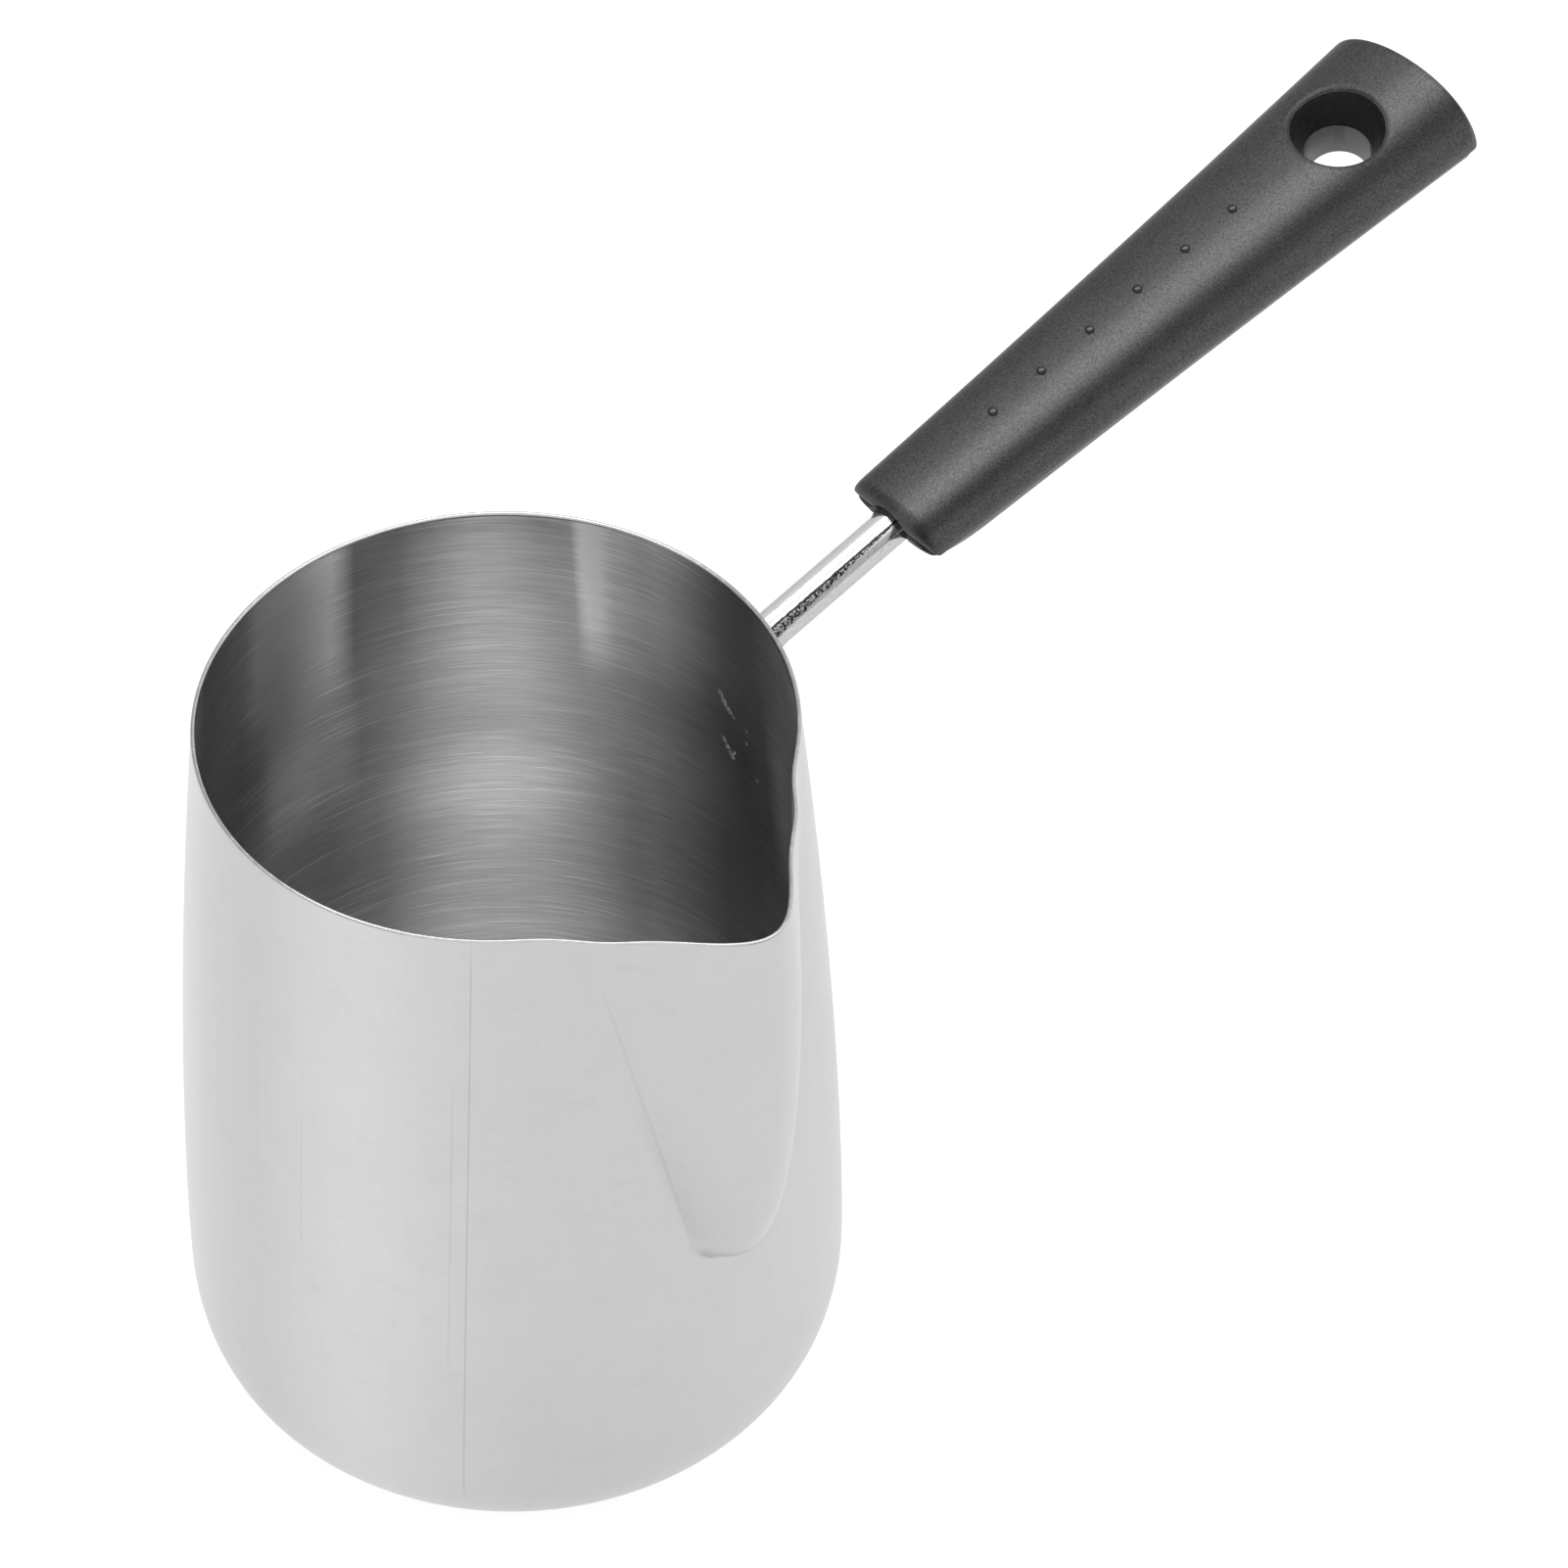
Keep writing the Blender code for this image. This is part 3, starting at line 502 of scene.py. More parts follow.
def grip_plastic():
    """Black nylon with the fine grain of a spark-eroded mould, and a painted highlight and shade across
    its top.
    """
    s = Shader("grip_black")
    grain = s.noise(s.place(), 3300.0, 3.0, 0.65)
    clouds = s.noise(s.place(), 120.0, 3.0)
    top = max(value for _, value in GRIP_PAINTED_LIGHT)
    stops = ramp_stops(GRIP_PAINTED_LIGHT, -1.0, 1.0, top)
    # The painted highlight and shade, scaled so that the ramp's brightest stop is 1.
    painted_light = s.ramp(s.span(across_grip(s), -1.0, 1.0), stops, "B_SPLINE")
    shade = s.times(s.varied(grain, 0.50, 1.50), s.varied(clouds, 0.95, 1.05), painted_light, top)
    rough = s.plus(s.varied(clouds, 0.38, 0.42), s.varied(grain, -0.03, 0.03))
    normal = s.bump(grain, 0.00006, 0.8)
    # The gloss follows the painted highlight and shade too.
    gloss = s.times(shade, 0.5)
    return s.finish(GRIP_COLOUR, shade, roughness=rough, normal=normal, specular=gloss)


def smooth_plastic(name, grey, roughness):
    """The same nylon where the mould was polished: in the hanging hole and on the dots; the hole's lower
    side is painted pale as a reflection.
    """
    s = Shader(name)
    swirl = s.noise(s.place(), 900.0, 3.0)
    rough = s.varied(swirl, roughness - 0.03, roughness + 0.03)
    normal = s.bump(swirl, 0.00002, 0.4)
    shade = s.varied(swirl, 0.82, 1.15)
    return s.finish((grey, grey, grey), shade, roughness=rough, normal=normal, specular=0.4)


def screw_steel():
    """Zinc-plated screws, faintly mottled."""
    s = Shader("screw_zinc")
    mottle = s.noise(s.place(), 900.0, 3.0)
    shade = s.varied(mottle, 0.85, 1.05)
    return s.finish(ZINC_COLOUR, shade, roughness=s.varied(mottle, 0.24, 0.36), metallic=1.0)


def floor_material():
    """Plain pale floor with a barely visible unevenness, lit from below like a light table."""
    s = Shader("pale_floor")
    clouds = s.noise(s.place(), 2.0, 2.0)
    s.feed(s.surface, "Emission Color", (*WHITE, 1.0))
    s.feed(s.surface, "Emission Strength", FLOOR_GLOW)
    return s.finish(FLOOR_COLOUR, s.varied(clouds, 0.99, 1.0), roughness=0.8, specular=0.1)


# ---------------------------------------------------------------- meshes


def add_object(name, data):
    made = bpy.data.objects.new(name, data)
    bpy.context.scene.collection.objects.link(made)
    return made


def add_mesh(name, points, faces, materials, face_materials=None):
    """A smooth object from points and faces; face_materials numbers each face's material."""
    mesh = bpy.data.meshes.new(name)
    mesh.from_pydata(points, [], faces)
    for used in materials:
        mesh.materials.append(used)
    if face_materials is not None:
        mesh.polygons.foreach_set("material_index", face_materials)
    mesh.update()
    mesh.shade_smooth()
    return add_object(name, mesh)


def add_bmesh(name, bm, materials):
    """A smooth object from a finished bmesh, which is freed."""
    mesh = bpy.data.meshes.new(name)
    bm.to_mesh(mesh)
    bm.free()
    for used in materials:
        mesh.materials.append(used)
    mesh.shade_smooth()
    return add_object(name, mesh)


def add_ball(bm, segments):
    """Adds a ball of radius 1 and returns its points."""
    ball = bmesh.ops.create_uvsphere(bm, u_segments=segments, v_segments=segments // 2, radius=1.0)
    return ball["verts"]


def closed_faces(rows, columns):
    """Faces of a solid made of rings: quads between the rings and one face at either end."""
    row, column = np.meshgrid(np.arange(rows - 1), np.arange(columns), indexing="ij")
    beside = (column + 1) % columns
    corners = [row * columns + column, row * columns + beside]
    corners += [(row + 1) * columns + beside, (row + 1) * columns + column]
    quads = np.stack(corners, axis=-1).reshape(-1, 4).tolist()
    first, last = list(range(columns)), list(range((rows - 1) * columns, rows * columns))
    return quads + [first[::-1], last]


def belongs(made, node):
    """The object rides on the part's one body and stands for the CAD node."""
    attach(made, "root")
    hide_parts(node)


def mix(low, high, share):
    return low + (high - low) * share


# ---------------------------------------------------------------- pot


def wall_radius(height):
    """Outer radius of the round wall, or of the corner below the belly."""
    share = np.clip((height - BELLY_HEIGHT) / (POT_HEIGHT - BELLY_HEIGHT), 0.0, 1.0)
    wall = BELLY_RADIUS - (BELLY_RADIUS - RIM_RADIUS) * share**NECK_POWER
    low = np.clip(1.0 - height / BELLY_HEIGHT, 0.0, 1.0)
    bulge = (1.0 - low**CORNER_POWER) ** (1.0 / CORNER_POWER)
    corner = BASE_RADIUS + (BELLY_RADIUS - BASE_RADIUS) * bulge
    return np.where(height < BELLY_HEIGHT, corner, wall)


def soft_angle(angle, softness):
    """The size of an angle, eased to a smooth curve near zero."""
    return np.hypot(angle, softness) - softness


def spout_radius(angle, height):
    """Outer radius with the spout, at angles from the spout's own plane."""
    wall = wall_radius(height)
    fall = np.clip((POT_HEIGHT - height) / SPOUT_DEPTH, 0.0, 1.0)
    down = np.clip((POT_HEIGHT - height) / SPOUT_FOOT_START, 0.0, 1.0)
    foot = SPOUT_DEPTH - SPOUT_FOOT_START
    closing = np.clip((fall * SPOUT_DEPTH - SPOUT_FOOT_START) / foot, 0.0, NEARLY_ONE)
    crest = wall + mix(SPOUT_REACH, SPOUT_LOW_REACH, fall) * np.sqrt(1.0 - fall**4)
    span = mix(SPOUT_MOUTH_HALF_WIDTH, SPOUT_FOOT_HALF_WIDTH, down) * np.sqrt(1.0 - closing**2)
    softness = mix(NOSE_SOFTNESS_MOUTH, NOSE_SOFTNESS_FOOT, down)
    edge = soft_angle(np.arcsin(span / wall), softness)
    lean = np.arctan((crest / wall - np.cos(edge)) / np.sin(edge))
    side = crest * np.cos(lean) / np.cos(np.maximum(lean - soft_angle(angle, softness), 0.0))
    blend = mix(BLEND_MOUTH, BLEND_FOOT, down)
    overlap = np.maximum(blend - np.abs(wall - side), 0.0)
    return np.where(fall < 1.0, np.maximum(wall, side) + overlap**2 / (4 * blend), wall)


def rim_wave(angle, height):
    """Slight ripples that the spout's punch left in the rim beside the spout."""
    away = np.abs(np.degrees(angle))
    window = np.exp(-(((away - WAVE_CENTRE) / WAVE_REACH) ** 2))
    swing = np.sin(2 * math.pi * (WAVE_NODE - away) / WAVE_PERIOD)
    return WAVE_SIZE * window * swing * np.exp(-(POT_HEIGHT - height) / WAVE_DEPTH)


def pot_heights():
    """Heights of the rings: crowded towards the base in the corner, evenly spaced up the wall."""
    turns = np.linspace(0, math.pi / 2, CORNER_ROWS, endpoint=False)
    corner = BELLY_HEIGHT * (1 - np.cos(turns)) ** CORNER_CROWDING
    wall = np.linspace(BELLY_HEIGHT, POT_HEIGHT, WALL_ROWS)
    return np.concatenate([corner, wall])


def pot_surface():
    """Outer points of the pot as rows of rings, and the outward normals there."""
    turn = np.linspace(0, 2 * math.pi, POT_COLUMNS, endpoint=False)
    from_spout = (turn - SPOUT_ANGLE + math.pi) % (2 * math.pi) - math.pi
    heights = pot_heights()
    radius = spout_radius(from_spout[None, :], heights[:, None])
    radius = radius + rim_wave(from_spout[None, :], heights[:, None])
    base_radii = np.linspace(BASE_MIDDLE, 1.0, BASE_ROWS, endpoint=False) * BASE_RADIUS
    radius = np.concatenate([np.repeat(base_radii[:, None], POT_COLUMNS, axis=1), radius])
    height = np.concatenate([np.zeros(BASE_ROWS), heights])
    points = np.empty((len(height), POT_COLUMNS, 3))
    points[..., 0] = radius * np.cos(turn)
    points[..., 1] = radius * np.sin(turn)
    points[..., 2] = height[:, None]
    across = np.roll(points, -1, axis=1) - np.roll(points, 1, axis=1)
    upward = np.gradient(points, axis=0)
    normals = np.cross(across, upward)
    normals /= np.linalg.norm(normals, axis=2, keepdims=True)
    return points, normals


def make_pot(outside, inside, rim):
    """Outer skin, rounded edge at the rim, then the inner skin one sheet further in."""
    points, normals = pot_surface()
    inner = points - normals * SHEET
    edge_centre = points[-1] - normals[-1] * SHEET / 2 - np.array((0, 0, SHEET / 2))
    rows = [points[:-1]]
    for turn in np.linspace(0, math.pi, EDGE_ROWS):
        ring = edge_centre + normals[-1] * math.cos(turn) * SHEET / 2
        rows.append((ring + np.array((0, 0, math.sin(turn) * SHEET / 2)))[None])
    rows.append(inner[:-1][::-1])
    rings = np.concatenate(rows)
    faces = closed_faces(len(rings), POT_COLUMNS)
    # Each face's material, counted through outside, inside and rim; the last two close the base.
    outer_end = (len(points) - 1) * POT_COLUMNS
    edge_end = outer_end + (EDGE_ROWS - 1) * POT_COLUMNS
    kinds = np.full(len(faces), 1, dtype=np.int32)
    kinds[:outer_end] = 0
    kinds[outer_end:edge_end] = 2
    kinds[-2] = 0
    pot = add_mesh("pot", rings.reshape(-1, 3), faces, (outside, inside, rim), kinds)
    belongs(pot, "pot_body")


# ---------------------------------------------------------------- rod and welds


def tail_point(height):
    """Centre of the rod's tail, which lies along the outside of the wall."""
    upper = WELD_HEIGHTS["upper"]
    drop = upper - height
    out = float(wall_radius(np.array(upper))) + ROD_RADIUS + GAP + drop * math.tan(ROD_TAIL_TILT)
    return Vector((out, 0, height))


def rod_path():
    """Centres and directions from the tail's end to where the bar enters the grip."""
    along = Vector((math.cos(ROD_SLOPE), 0, math.sin(ROD_SLOPE)))
    up_tail = Vector((-math.sin(ROD_TAIL_TILT), 0, math.cos(ROD_TAIL_TILT)))
    low = tail_point(ROD_TAIL_LOWEST)
    offset = GRIP_FRONT - low
    cross = along.x * up_tail.z - along.z * up_tail.x
    corner = low + up_tail * ((offset.z * along.x - offset.x * along.z) / cross)
    turn = up_tail.angle(along)
    start = corner - up_tail * ROD_BEND_RADIUS * math.tan(turn / 2)
    centre = start + Vector((up_tail.z, 0, -up_tail.x)) * ROD_BEND_RADIUS
    path = [(low.lerp(start, i / ROD_STEPS), up_tail) for i in range(ROD_STEPS)]
    for i in range(BEND_STEPS + 1):
        swing = Matrix.Rotation(turn * i / BEND_STEPS, 3, "Y")
        path.append((centre + swing @ (start - centre), swing @ up_tail))
    bent = path[-1][0]
    path += [(bent.lerp(GRIP_FRONT, i / ROD_STEPS), along) for i in range(1, ROD_STEPS + 1)]
    return path, along


def rod_sections():
    """(centre, direction, half width, half depth) from the sawn end to the end of the tang."""
    path, along = rod_path()
    low, up_tail = path[0]
    sections = []
    # The sawn lower end has a small rounded edge.
    for i in range(ROD_END_STEPS):
        turn = math.radians(90) * i / ROD_END_STEPS
        centre = low + up_tail * ROD_END_ROUNDING * (1 - math.cos(turn))
        radius = ROD_RADIUS - ROD_END_ROUNDING * (1 - math.sin(turn))
        sections.append((centre, up_tail, radius, radius))
    sections += [(centre, heading, ROD_RADIUS, ROD_RADIUS) for centre, heading in path[1:]]
    for reach, wide, deep in (
        (TANG_START, ROD_RADIUS, ROD_RADIUS),
        (TANG_FULL, TANG_HALF_WIDTH, TANG_HALF_THICKNESS),
        (TANG_END, TANG_HALF_WIDTH, TANG_HALF_THICKNESS),
    ):
        sections.append((GRIP_FRONT + along * reach, along, wide, deep))
    return sections


def make_rod(steel):
    """Round sections along the path, then the flattened tang inside the grip."""
    sections = rod_sections()
    turns = np.linspace(0, 2 * math.pi, ROD_SEGMENTS, endpoint=False)
    roll = Matrix.Rotation(GRIP_ROLL, 3, "X")
    points = []
    for centre, heading, wide, deep in sections:
        across = Vector((heading.z, 0, -heading.x))
        for turn in turns:
            flat = roll @ Vector((0, wide * math.sin(turn), deep * math.cos(turn)))
            points.append(centre - across * flat.z + Vector((0, flat.y, 0)))
    faces = [face[::-1] for face in closed_faces(len(sections), ROD_SEGMENTS)]
    rod = add_mesh("rod", points, faces, (steel,))
    face_outward(rod)
    belongs(rod, "handle_rod")


def face_outward(made):
    bm = bmesh.new()
    bm.from_mesh(made.data)
    bmesh.ops.recalc_face_normals(bm, faces=bm.faces)
    bm.to_mesh(made.data)
    bm.free()


def make_welds(metal):
    """Fused metal squeezed out between the bar and the wall."""
    into_rod = Vector((math.cos(ROD_TAIL_TILT), 0, math.sin(ROD_TAIL_TILT)))
    turn = into_rod.to_track_quat("Z", "Y").to_matrix().to_4x4()
    for number, (name, height) in enumerate(WELD_HEIGHTS.items()):
        bm = bmesh.new()
        for vert in add_ball(bm, WELD_SEGMENTS):
            around = math.atan2(vert.co.y, vert.co.x)
            wobble = 1 + WELD_WOBBLE * math.sin(WELD_LOBES * around + number)
            vert.co.x *= wobble
            vert.co.y *= wobble
        place = tail_point(height) - into_rod * (ROD_RADIUS + GAP / 2)
        bm.transform(Matrix.Translation(place) @ turn @ Matrix.Diagonal((*WELD_SIZE, 1.0)))
        weld = add_bmesh(f"weld_{name}", bm, (metal,))
        belongs(weld, f"{name}_weld_nugget")


def inside_point(degrees, below_rim):
    """A point on the inner wall, with the wall's inward direction there."""
    angle = math.radians(degrees)
    height = POT_HEIGHT - below_rim
    radius = float(wall_radius(np.array(height))) - SHEET
    outward = Vector((math.cos(angle), math.sin(angle), 0))
    return outward * radius + Vector((0, 0, height)), -outward


def make_weld_marks(metal):
    """Slightly raised scuffs on the inner wall, behind the two welds, in a pale metal that paints their
    highlights.
    """
    bm = bmesh.new()
    scuffs = [(first, last, MARK_WIDTH) for first, last in MARK_STROKES]
    scuffs += [(speck, speck, SPECK_RADIUS) for speck in MARK_SPECKS]
    for first, last, wide in scuffs:
        start, inward = inside_point(*first)
        finish, _ = inside_point(*last)
        along = (finish - start) if first != last else Vector((0, 0, 2 * wide))
        side = inward.cross(along.normalized())
        turn = Matrix((along.normalized(), side, inward)).transposed().to_4x4()
        size = Matrix.Diagonal((along.length * MARK_HALF_LENGTH, wide, MARK_RISE, 1.0))
        place = Matrix.Translation((start + finish) / 2) @ turn @ size
        for vert in add_ball(bm, BALL_SEGMENTS):
            ragged = 1 + MARK_RAGGEDNESS * math.sin(9 * vert.co.x + 4 * vert.co.y)
            vert.co = place @ Vector((vert.co.x, vert.co.y * ragged, vert.co.z))
    belongs(add_bmesh("weld_marks", bm, (metal,)), "pot_body")


# ---------------------------------------------------------------- grip
#
# In the grip's own frame X runs from its front to its end, Y points away from the spout and Z is
# up; side is 1 for the upper shell and -1 for the lower one.


def seam_height(reach):
    return SEAM_START - SEAM_FALL * reach


def shell_depth(side, reach):
    return UPPER_DEPTH + UPPER_DEPTH_GAIN * reach if side > 0 else LOWER_DEPTH


def half_width(side, reach):
    width = GRIP_FRONT_HALF_WIDTH + GRIP_FLARE * reach + GRIP_FLARE_GROWTH * reach**2
    return width if side > 0 else width - LOWER_NARROWING


def rounded(distance, depth, power):
    """0 at an edge, rising to 1 at a depth behind it, along a superellipse."""
    left = np.clip(1.0 - distance / depth, 0.0, 1.0)
    return (1.0 - left**power) ** (1.0 / power)


def corner_setback(across, depth):
    """How far the front or end stays back towards the corners, for -1 to 1 across the grip."""
    return depth * (1.0 - (1.0 - np.abs(across) ** CORNER_SQUARENESS) ** (1.0 / CORNER_SQUARENESS))


def edge_inset(height):
    """How far the skin stays in from the full outline just above the seam."""
    left = np.clip(1.0 - height / SEAM_EDGE, 0.0, 1.0)
    return SEAM_EDGE * (1.0 - np.sqrt(1.0 - left**2))


def section(power):
    """(across, rise) along half a superellipse, with extra points near the seam."""
    near_turns = np.arcsin(np.array(RISES_NEAR_SEAM) ** (power / 2))
    far_turns = np.linspace(near_turns[-1], math.pi / 2, GRIP_SIDE_ROWS)[1:]
    turns = np.concatenate([near_turns, far_turns])
    turns = np.concatenate([turns, math.pi - turns[:-1][::-1]])
    cosine = np.cos(turns)
    across = np.sign(cosine) * np.abs(cosine) ** (2 / power)
    rise = np.abs(np.sin(turns)) ** (2 / power)
    # The crown lies exactly in the middle and both ends exactly on the seam.
    across[len(turns) // 2] = 0.0
    rise[0] = rise[-1] = 0.0
    return across, rise


def grip_reach(first, last, front_rounding):
    """Places along the grip, crowded at the rounded front and end."""
    front = 1 - np.cos(np.linspace(0, math.pi / 2, GRIP_FRONT_ROWS)[:-1])
    end = 1 - np.cos(np.linspace(math.pi / 2, 0, GRIP_END_ROWS))
    share = np.linspace(0, 1, GRIP_MIDDLE_ROWS)[None, :-1]
    middle = mix(first + front_rounding, last - END_ROUNDING, share)
    front = first + front_rounding * front[None, :]
    end = last - END_ROUNDING * end[None, :]
    return np.concatenate([front, middle, end], axis=1)


def grip_points(side, across, rise):
    """Skin of one shell: rows along the section, each a line of points along the grip."""
    if side > 0:
        front_rounding, front_power = UPPER_FRONT_ROUNDING, UPPER_FRONT_POWER
    else:
        front_rounding, front_power = LOWER_FRONT_ROUNDING, LOWER_FRONT_POWER
    across, rise = across[:, None], rise[:, None]
    first = corner_setback(across, FRONT_CORNER)
    last = GRIP_LENGTH - END_BOW * across**2 - corner_setback(across, END_CORNER)
    reach = grip_reach(first, last, front_rounding)
    at_front = rounded(reach - first, front_rounding, front_power)
    at_end = rounded(last - reach, END_ROUNDING, END_POWER)
    height = shell_depth(side, reach) * rise * (at_front * at_end)
    inset = edge_inset(height)
    width = half_width(side, reach) - inset
    ahead = np.clip(1 - (reach - first) / SEAM_EDGE_RUNOUT, 0, 1) * inset
    behind = np.clip(1 - (last - reach) / SEAM_EDGE_RUNOUT, 0, 1) * inset
    points = np.empty(reach.shape + (3,))
    points[..., 0] = reach + ahead - behind
    points[..., 1] = across * width
    points[..., 2] = seam_height(reach) + side * (GAP / 2 + height)
    return points


def shell_solid(name, side, materials):
    """One shell as a closed solid, skin and flat side, before the holes are cut."""
    across, rise = section(UPPER_POWER if side > 0 else LOWER_POWER)
    skin = grip_points(side, across, rise)
    flat = grip_points(side, across, np.zeros_like(rise))
    count, columns = skin.shape[:2]
    bm = bmesh.new()
    outer = [[bm.verts.new(p) for p in row] for row in skin]
    inner = []
    for i in range(count):
        row = []
        for j in range(columns):
            on_border = i in (0, count - 1) or j in (0, columns - 1)
            row.append(outer[i][j] if on_border else bm.verts.new(flat[i][j]))
        inner.append(row)
    for grid in (outer, inner):
        for i in range(count - 1):
            for j in range(columns - 1):
                bm.faces.new((grid[i][j], grid[i][j + 1], grid[i + 1][j + 1], grid[i + 1][j]))
    bmesh.ops.recalc_face_normals(bm, faces=bm.faces)
    return add_bmesh(name, bm, materials)


def revolved(name, profile, segments, materials, shape=None, first_bands=None):
    """A closed cutter turned about Z; shape may bend each point afterwards.

    Bands of the profile beyond the first ones take the second material.
    """
    bm = bmesh.new()
    rings = []
    for radius, height in profile:
        ring = []
        for i in range(segments):
            turn = 2 * math.pi * (i + 0.5) / segments
            point = Vector((radius * math.cos(turn), radius * math.sin(turn), height))
            ring.append(bm.verts.new(shape(point) if shape else point))
        rings.append(ring)
    for band, (lower, upper) in enumerate(zip(rings, rings[1:])):
        for i in range(segments):
            j = (i + 1) % segments
            face = bm.faces.new((lower[i], lower[j], upper[j], upper[i]))
            face.material_index = int(first_bands is not None and band >= first_bands)
    bm.faces.new(rings[0])
    bm.faces.new(rings[-1])
    bmesh.ops.recalc_face_normals(bm, faces=bm.faces)
    return add_bmesh(name, bm, materials)


def cut(target, cutter):
    """Takes the cutter out of the target for good; the new faces keep its material."""
    modifier = target.modifiers.new("cut", "BOOLEAN")
    modifier.operation = "DIFFERENCE"
    modifier.solver = "EXACT"
    modifier.object = cutter
    modifier.material_mode = "TRANSFER"
    graph = bpy.context.evaluated_depsgraph_get()
    result = bpy.data.meshes.new_from_object(target.evaluated_get(graph), depsgraph=graph)
    target.modifiers.clear()
    target.data = result
    bpy.data.objects.remove(cutter, do_unlink=True)


def upper_hole_cutter(flank, skin):
    """The upper cone, with a fillet that follows the curve of the grip's back."""
    depth = shell_depth(1, HOLE_CENTRE)
    slope = (HOLE_MOUTH_RADIUS - HOLE_SEAM_RADIUS) / depth
    profile = [
        (HOLE_SEAM_RADIUS - slope * OVERCUT_SHORT, -OVERCUT_SHORT),
        (HOLE_SEAM_RADIUS, 0.0),
        (HOLE_MOUTH_RADIUS - slope * MOUTH_FILLET, depth - MOUTH_FILLET),
    ]
    for step in range(1, FILLET_STEPS + 1):
        turn = FILLET_TURN * step / FILLET_STEPS
        out = MOUTH_FILLET * (1 - math.cos(turn))
        profile.append((HOLE_MOUTH_RADIUS + out, depth - MOUTH_FILLET * (1 - math.sin(turn))))
    radius, height = profile[-1]
    for rise in CUTTER_LIP_RISES:
        profile.append((radius + CUTTER_LIP, height + rise))

    def follow(point):
        share = min(abs(point.y + HOLE_OFFSET) / half_width(1, HOLE_CENTRE), FOLLOW_SHARE)
        drop = 1.0 - (1.0 - share**UPPER_POWER) ** (1.0 / UPPER_POWER)
        rise = max(point.z, 0.0) / depth
        tilt = point.x * UPPER_DEPTH_GAIN - point.x * SEAM_FALL
        return point + Vector((0, 0, (tilt - drop * depth) * min(rise, FOLLOW_RISE)))

    return revolved("hole_cutter", profile, HOLE_SEGMENTS, (flank, skin), follow, first_bands=2)


def lower_hole_cutter(flank):
    """The lower shell's taper to the throat and its flare to the underside."""
    slope = (HOLE_SEAM_RADIUS - HOLE_THROAT_RADIUS) / HOLE_THROAT_DEPTH
    flare = (HOLE_MOUTH_RADIUS - HOLE_THROAT_RADIUS) / (LOWER_DEPTH - HOLE_THROAT_DEPTH)
    profile = [
        (HOLE_MOUTH_RADIUS + flare * OVERCUT_LONG, -LOWER_DEPTH - OVERCUT_LONG),
        (HOLE_THROAT_RADIUS + THROAT_EASE / 2, -HOLE_THROAT_DEPTH - THROAT_EASE),
        (HOLE_THROAT_RADIUS, -HOLE_THROAT_DEPTH),
        (HOLE_SEAM_RADIUS - slope * SEAM_CHAMFER, -SEAM_CHAMFER),
        (HOLE_SEAM_RADIUS + SEAM_CHAMFER_OUT, 0.0),
        (HOLE_SEAM_RADIUS + 4 * SEAM_CHAMFER_OUT, OVERCUT_SHORT),
    ]
    return revolved("hole_cutter", profile, HOLE_SEGMENTS, (flank,))


def bore_cutter(plastic):
    """The bar's bore, flared where the bar enters the grip."""
    mouth = BORE_RADIUS + BORE_FLARE
    profile = [
        (mouth + BORE_FLARE_PAST_SKIN, -OVERCUT_LONG),
        (mouth, 0.0),
        (BORE_RADIUS, BORE_FLARE_DEPTH),
        (BORE_RADIUS, BORE_DEPTH),
    ]
    bore = revolved("bore_cutter", profile, BORE_SEGMENTS, (plastic,))
    bore.matrix_world = BAR_FRAME @ Matrix.Rotation(math.radians(90), 4, "Y")
    return bore


def well_cutter(plastic, reach):
    """A screw's well, with a small chamfer at the underside."""
    rim = -LOWER_DEPTH
    profile = [
        (WELL_RADIUS + WELL_RADIUS_PAST_SKIN, rim - OVERCUT_SHORT),
        (WELL_RADIUS + WELL_CHAMFER_OUT, rim),
        (WELL_RADIUS, rim + WELL_CHAMFER),
        (WELL_RADIUS, WELL_TOP),
    ]
    well = revolved("well_cutter", profile, WELL_SEGMENTS, (plastic,))
    return in_grip(well, reach, seam_height(reach))


def in_grip(made, reach=0.0, height=0.0, offset=0.0):
    made.matrix_world = GRIP_FRAME @ Matrix.Translation((reach, offset, height))
    return made


def make_shell(name, side, node, plastic, flank):
    """One shell with its half of the hanging hole and of the bore, and the screw wells below."""
    shell = in_grip(shell_solid(name, side, (plastic, flank)))
    hole = upper_hole_cutter(flank, plastic) if side > 0 else lower_hole_cutter(flank)
    bpy.context.view_layer.update()
    cut(shell, in_grip(hole, HOLE_CENTRE, seam_height(HOLE_CENTRE), HOLE_OFFSET))
    cut(shell, bore_cutter(plastic))
    if side < 0:
        for reach in SCREW_PLACES:
            cut(shell, well_cutter(plastic, reach))
    shell.data.transform(shell.matrix_world)
    shell.matrix_world = Matrix.Identity(4)
    shell.data.shade_smooth()
    shell.data.set_sharp_from_angle(angle=GRIP_SHARP_ANGLE)
    belongs(shell, node)


def make_dots(plastic):
    """Small raised dots along the grip's back."""
    bm = bmesh.new()
    for number in range(DOT_COUNT):
        ball = add_ball(bm, BALL_SEGMENTS)
        for vert in ball:
            flat = (1.0 - min(math.hypot(vert.co.x, vert.co.y), 1.0) ** DOT_POWER) ** (1.0 / DOT_POWER)
            vert.co.z = math.copysign(flat, vert.co.z)
        reach = DOT_FIRST + number * DOT_PITCH
        top = seam_height(reach) + shell_depth(1, reach) + GAP / 2
        place = GRIP_FRAME @ Matrix.Translation((reach, DOT_OFFSET, top - DOT_SINK))
        shape = Matrix.Diagonal((DOT_RADIUS, DOT_RADIUS, DOT_RISE, 1.0))
        bmesh.ops.transform(bm, matrix=place @ shape, verts=ball)
    belongs(add_bmesh("grip_dots", bm, (plastic,)), "grip_upper_shell")


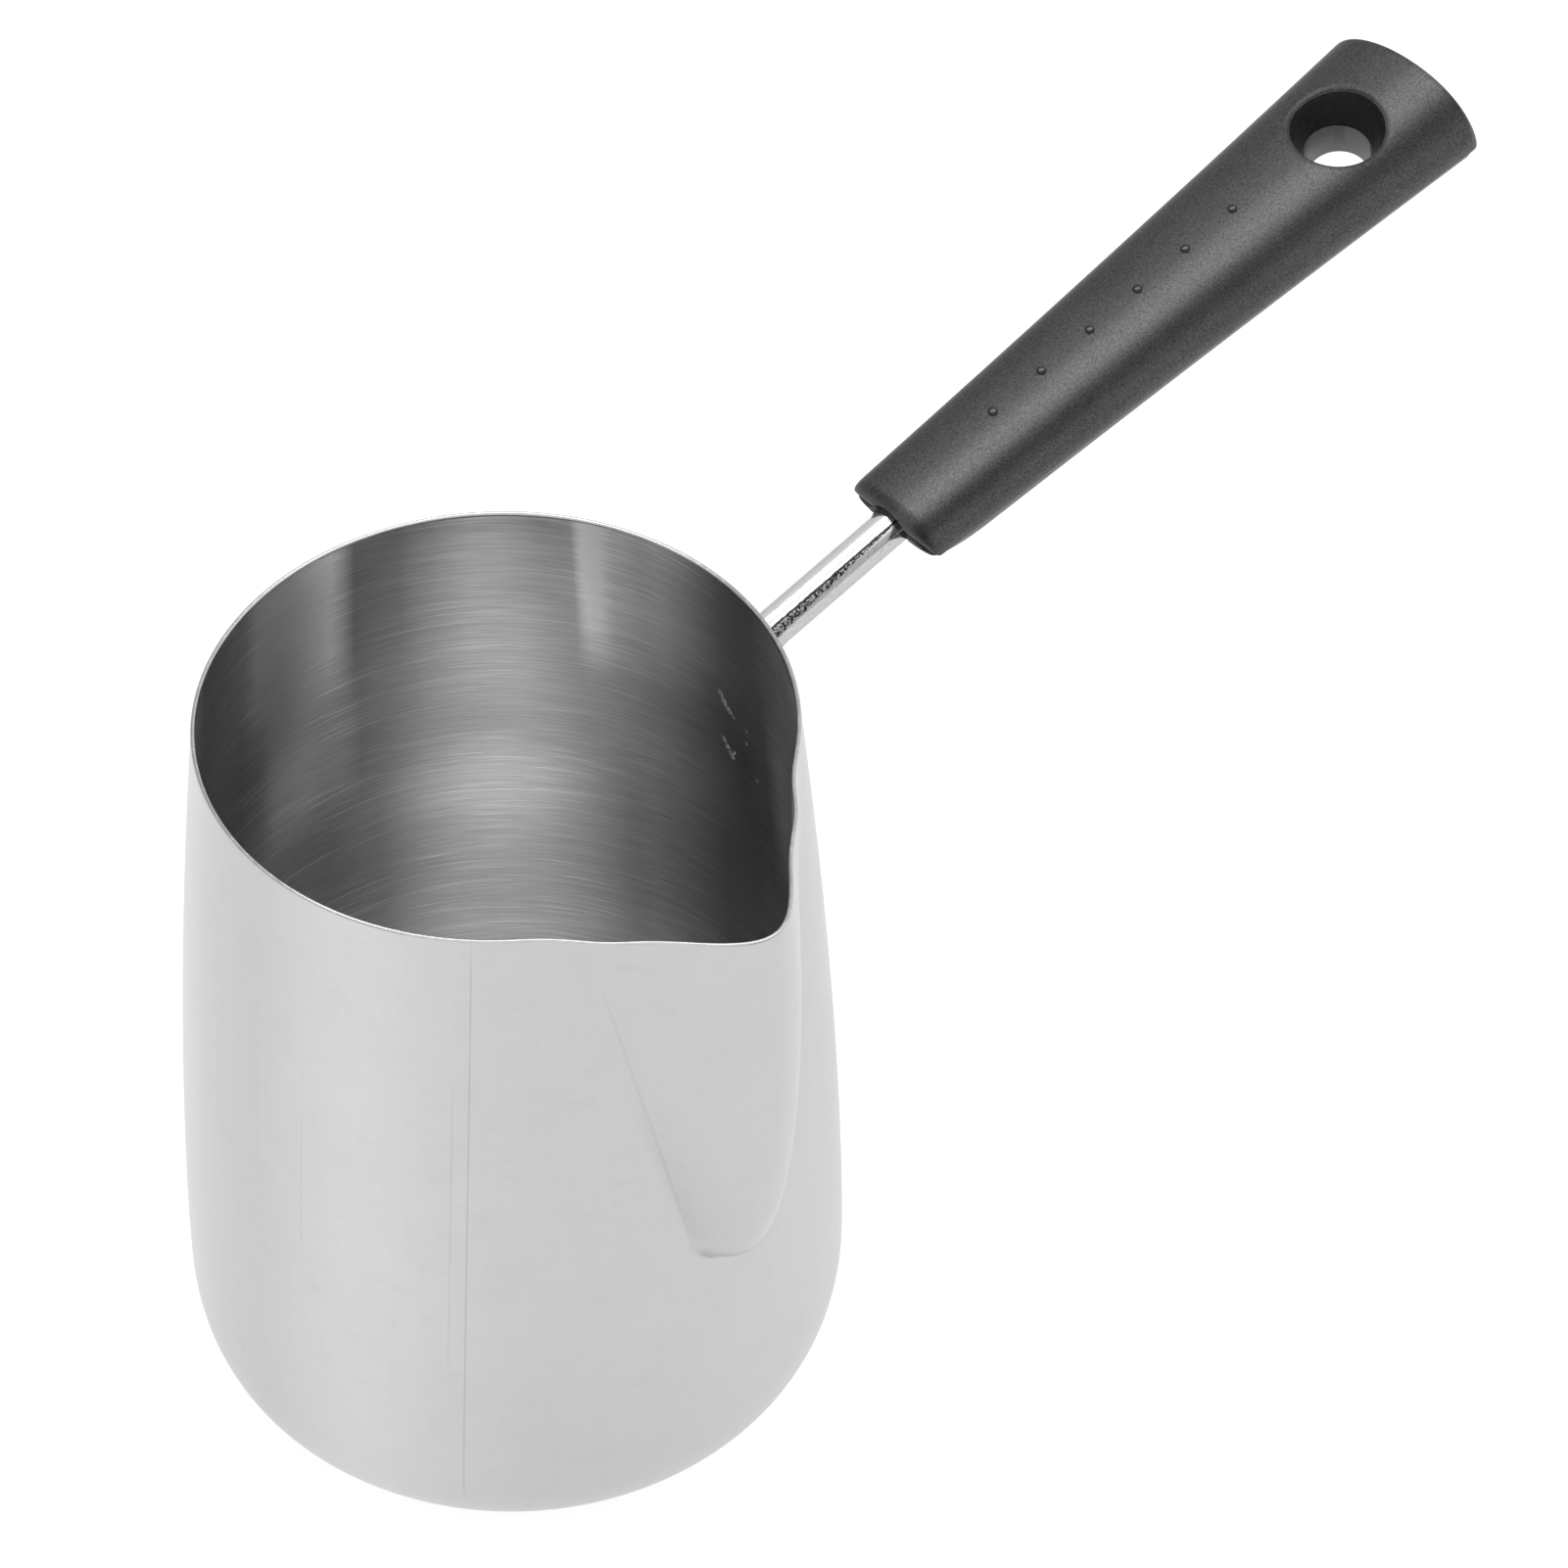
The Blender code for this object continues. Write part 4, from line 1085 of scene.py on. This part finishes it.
def dress_screws(zinc):
    """The two screws stay the CAD's own pieces, in zinc."""
    for node in ("grip_screw_front", "grip_screw_rear"):
        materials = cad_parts[node].data.materials
        materials.clear()
        materials.append(zinc)


# ---------------------------------------------------------------- stage


def make_floor():
    bpy.ops.mesh.primitive_plane_add(size=FLOOR_SIZE, location=(0, 0, -FLOOR_DROP))
    floor = bpy.context.active_object
    floor.name = "floor"
    floor.data.materials.append(floor_material())


def turn_towards(made, direction):
    """Turns a lamp or a camera, which look along their own -Z, towards a direction."""
    made.rotation_euler = direction.to_track_quat("-Z", "Y").to_euler()


def make_softbox():
    light = bpy.data.lights.new("softbox", "AREA")
    light.shape = "RECTANGLE"
    light.size, light.size_y = SOFTBOX_SIZE
    light.energy = SOFTBOX_POWER
    lamp = add_object("softbox", light)
    lamp.location = SOFTBOX_PLACE
    turn_towards(lamp, SOFTBOX_AIM - SOFTBOX_PLACE)


def make_world():
    """A room of pale and dim strips that run along the handle, over the whole stage."""
    world = bpy.data.worlds.new("studio")
    world.use_nodes = True
    bpy.context.scene.world = world
    nodes, links = world.node_tree.nodes, world.node_tree.links
    toward = nodes.new("ShaderNodeTexCoord")
    parts = nodes.new("ShaderNodeSeparateXYZ")
    links.new(toward.outputs["Generated"], parts.inputs[0])
    place = nodes.new("ShaderNodeMapRange")
    links.new(parts.outputs["Y"], place.inputs["Value"])
    place.inputs["From Min"].default_value = -1.0
    ramp = nodes.new("ShaderNodeValToRGB")
    links.new(place.outputs[0], ramp.inputs[0])
    fill_ramp(ramp, ramp_stops(SKY_LEVELS, -1.0, 1.0))
    links.new(ramp.outputs[0], nodes["Background"].inputs["Color"])


def make_camera():
    data = bpy.data.cameras.new("camera")
    data.lens = CAMERA_LENS
    data.sensor_width = SENSOR
    data.clip_end = CAMERA_SIGHT
    camera = add_object("camera", data)
    camera.location = CAMERA_PLACE
    turn_towards(camera, CAMERA_FORWARD)
    bpy.context.scene.camera = camera


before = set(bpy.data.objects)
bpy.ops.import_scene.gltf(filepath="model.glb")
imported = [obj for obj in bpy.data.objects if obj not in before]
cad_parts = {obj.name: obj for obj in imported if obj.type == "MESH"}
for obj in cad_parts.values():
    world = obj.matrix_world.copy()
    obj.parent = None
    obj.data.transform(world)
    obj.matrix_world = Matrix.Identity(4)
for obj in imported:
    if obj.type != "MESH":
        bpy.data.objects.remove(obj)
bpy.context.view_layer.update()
make_pot(outside_steel(), inside_steel(), rim_steel())
make_rod(bright_steel())
make_welds(weld_steel())
make_weld_marks(weld_mark_and_highlight_steel())
black = grip_plastic()
hole_black = smooth_plastic("grip_hole_black", *HOLE_FINISH)
make_shell("grip_upper", 1, "grip_upper_shell", black, hole_black)
# Painted reflection: the lower shell's side of the hanging hole is pale.
throat_painted_sheen = smooth_plastic("grip_throat_painted_sheen", *THROAT_PAINTED_SHEEN)
make_shell("grip_lower", -1, "grip_lower_shell", black, throat_painted_sheen)
make_dots(smooth_plastic("grip_dot_black", *DOT_FINISH))
dress_screws(screw_steel())
make_floor()
make_softbox()
make_world()
make_camera()
bpy.context.scene.view_settings.view_transform = "Standard"
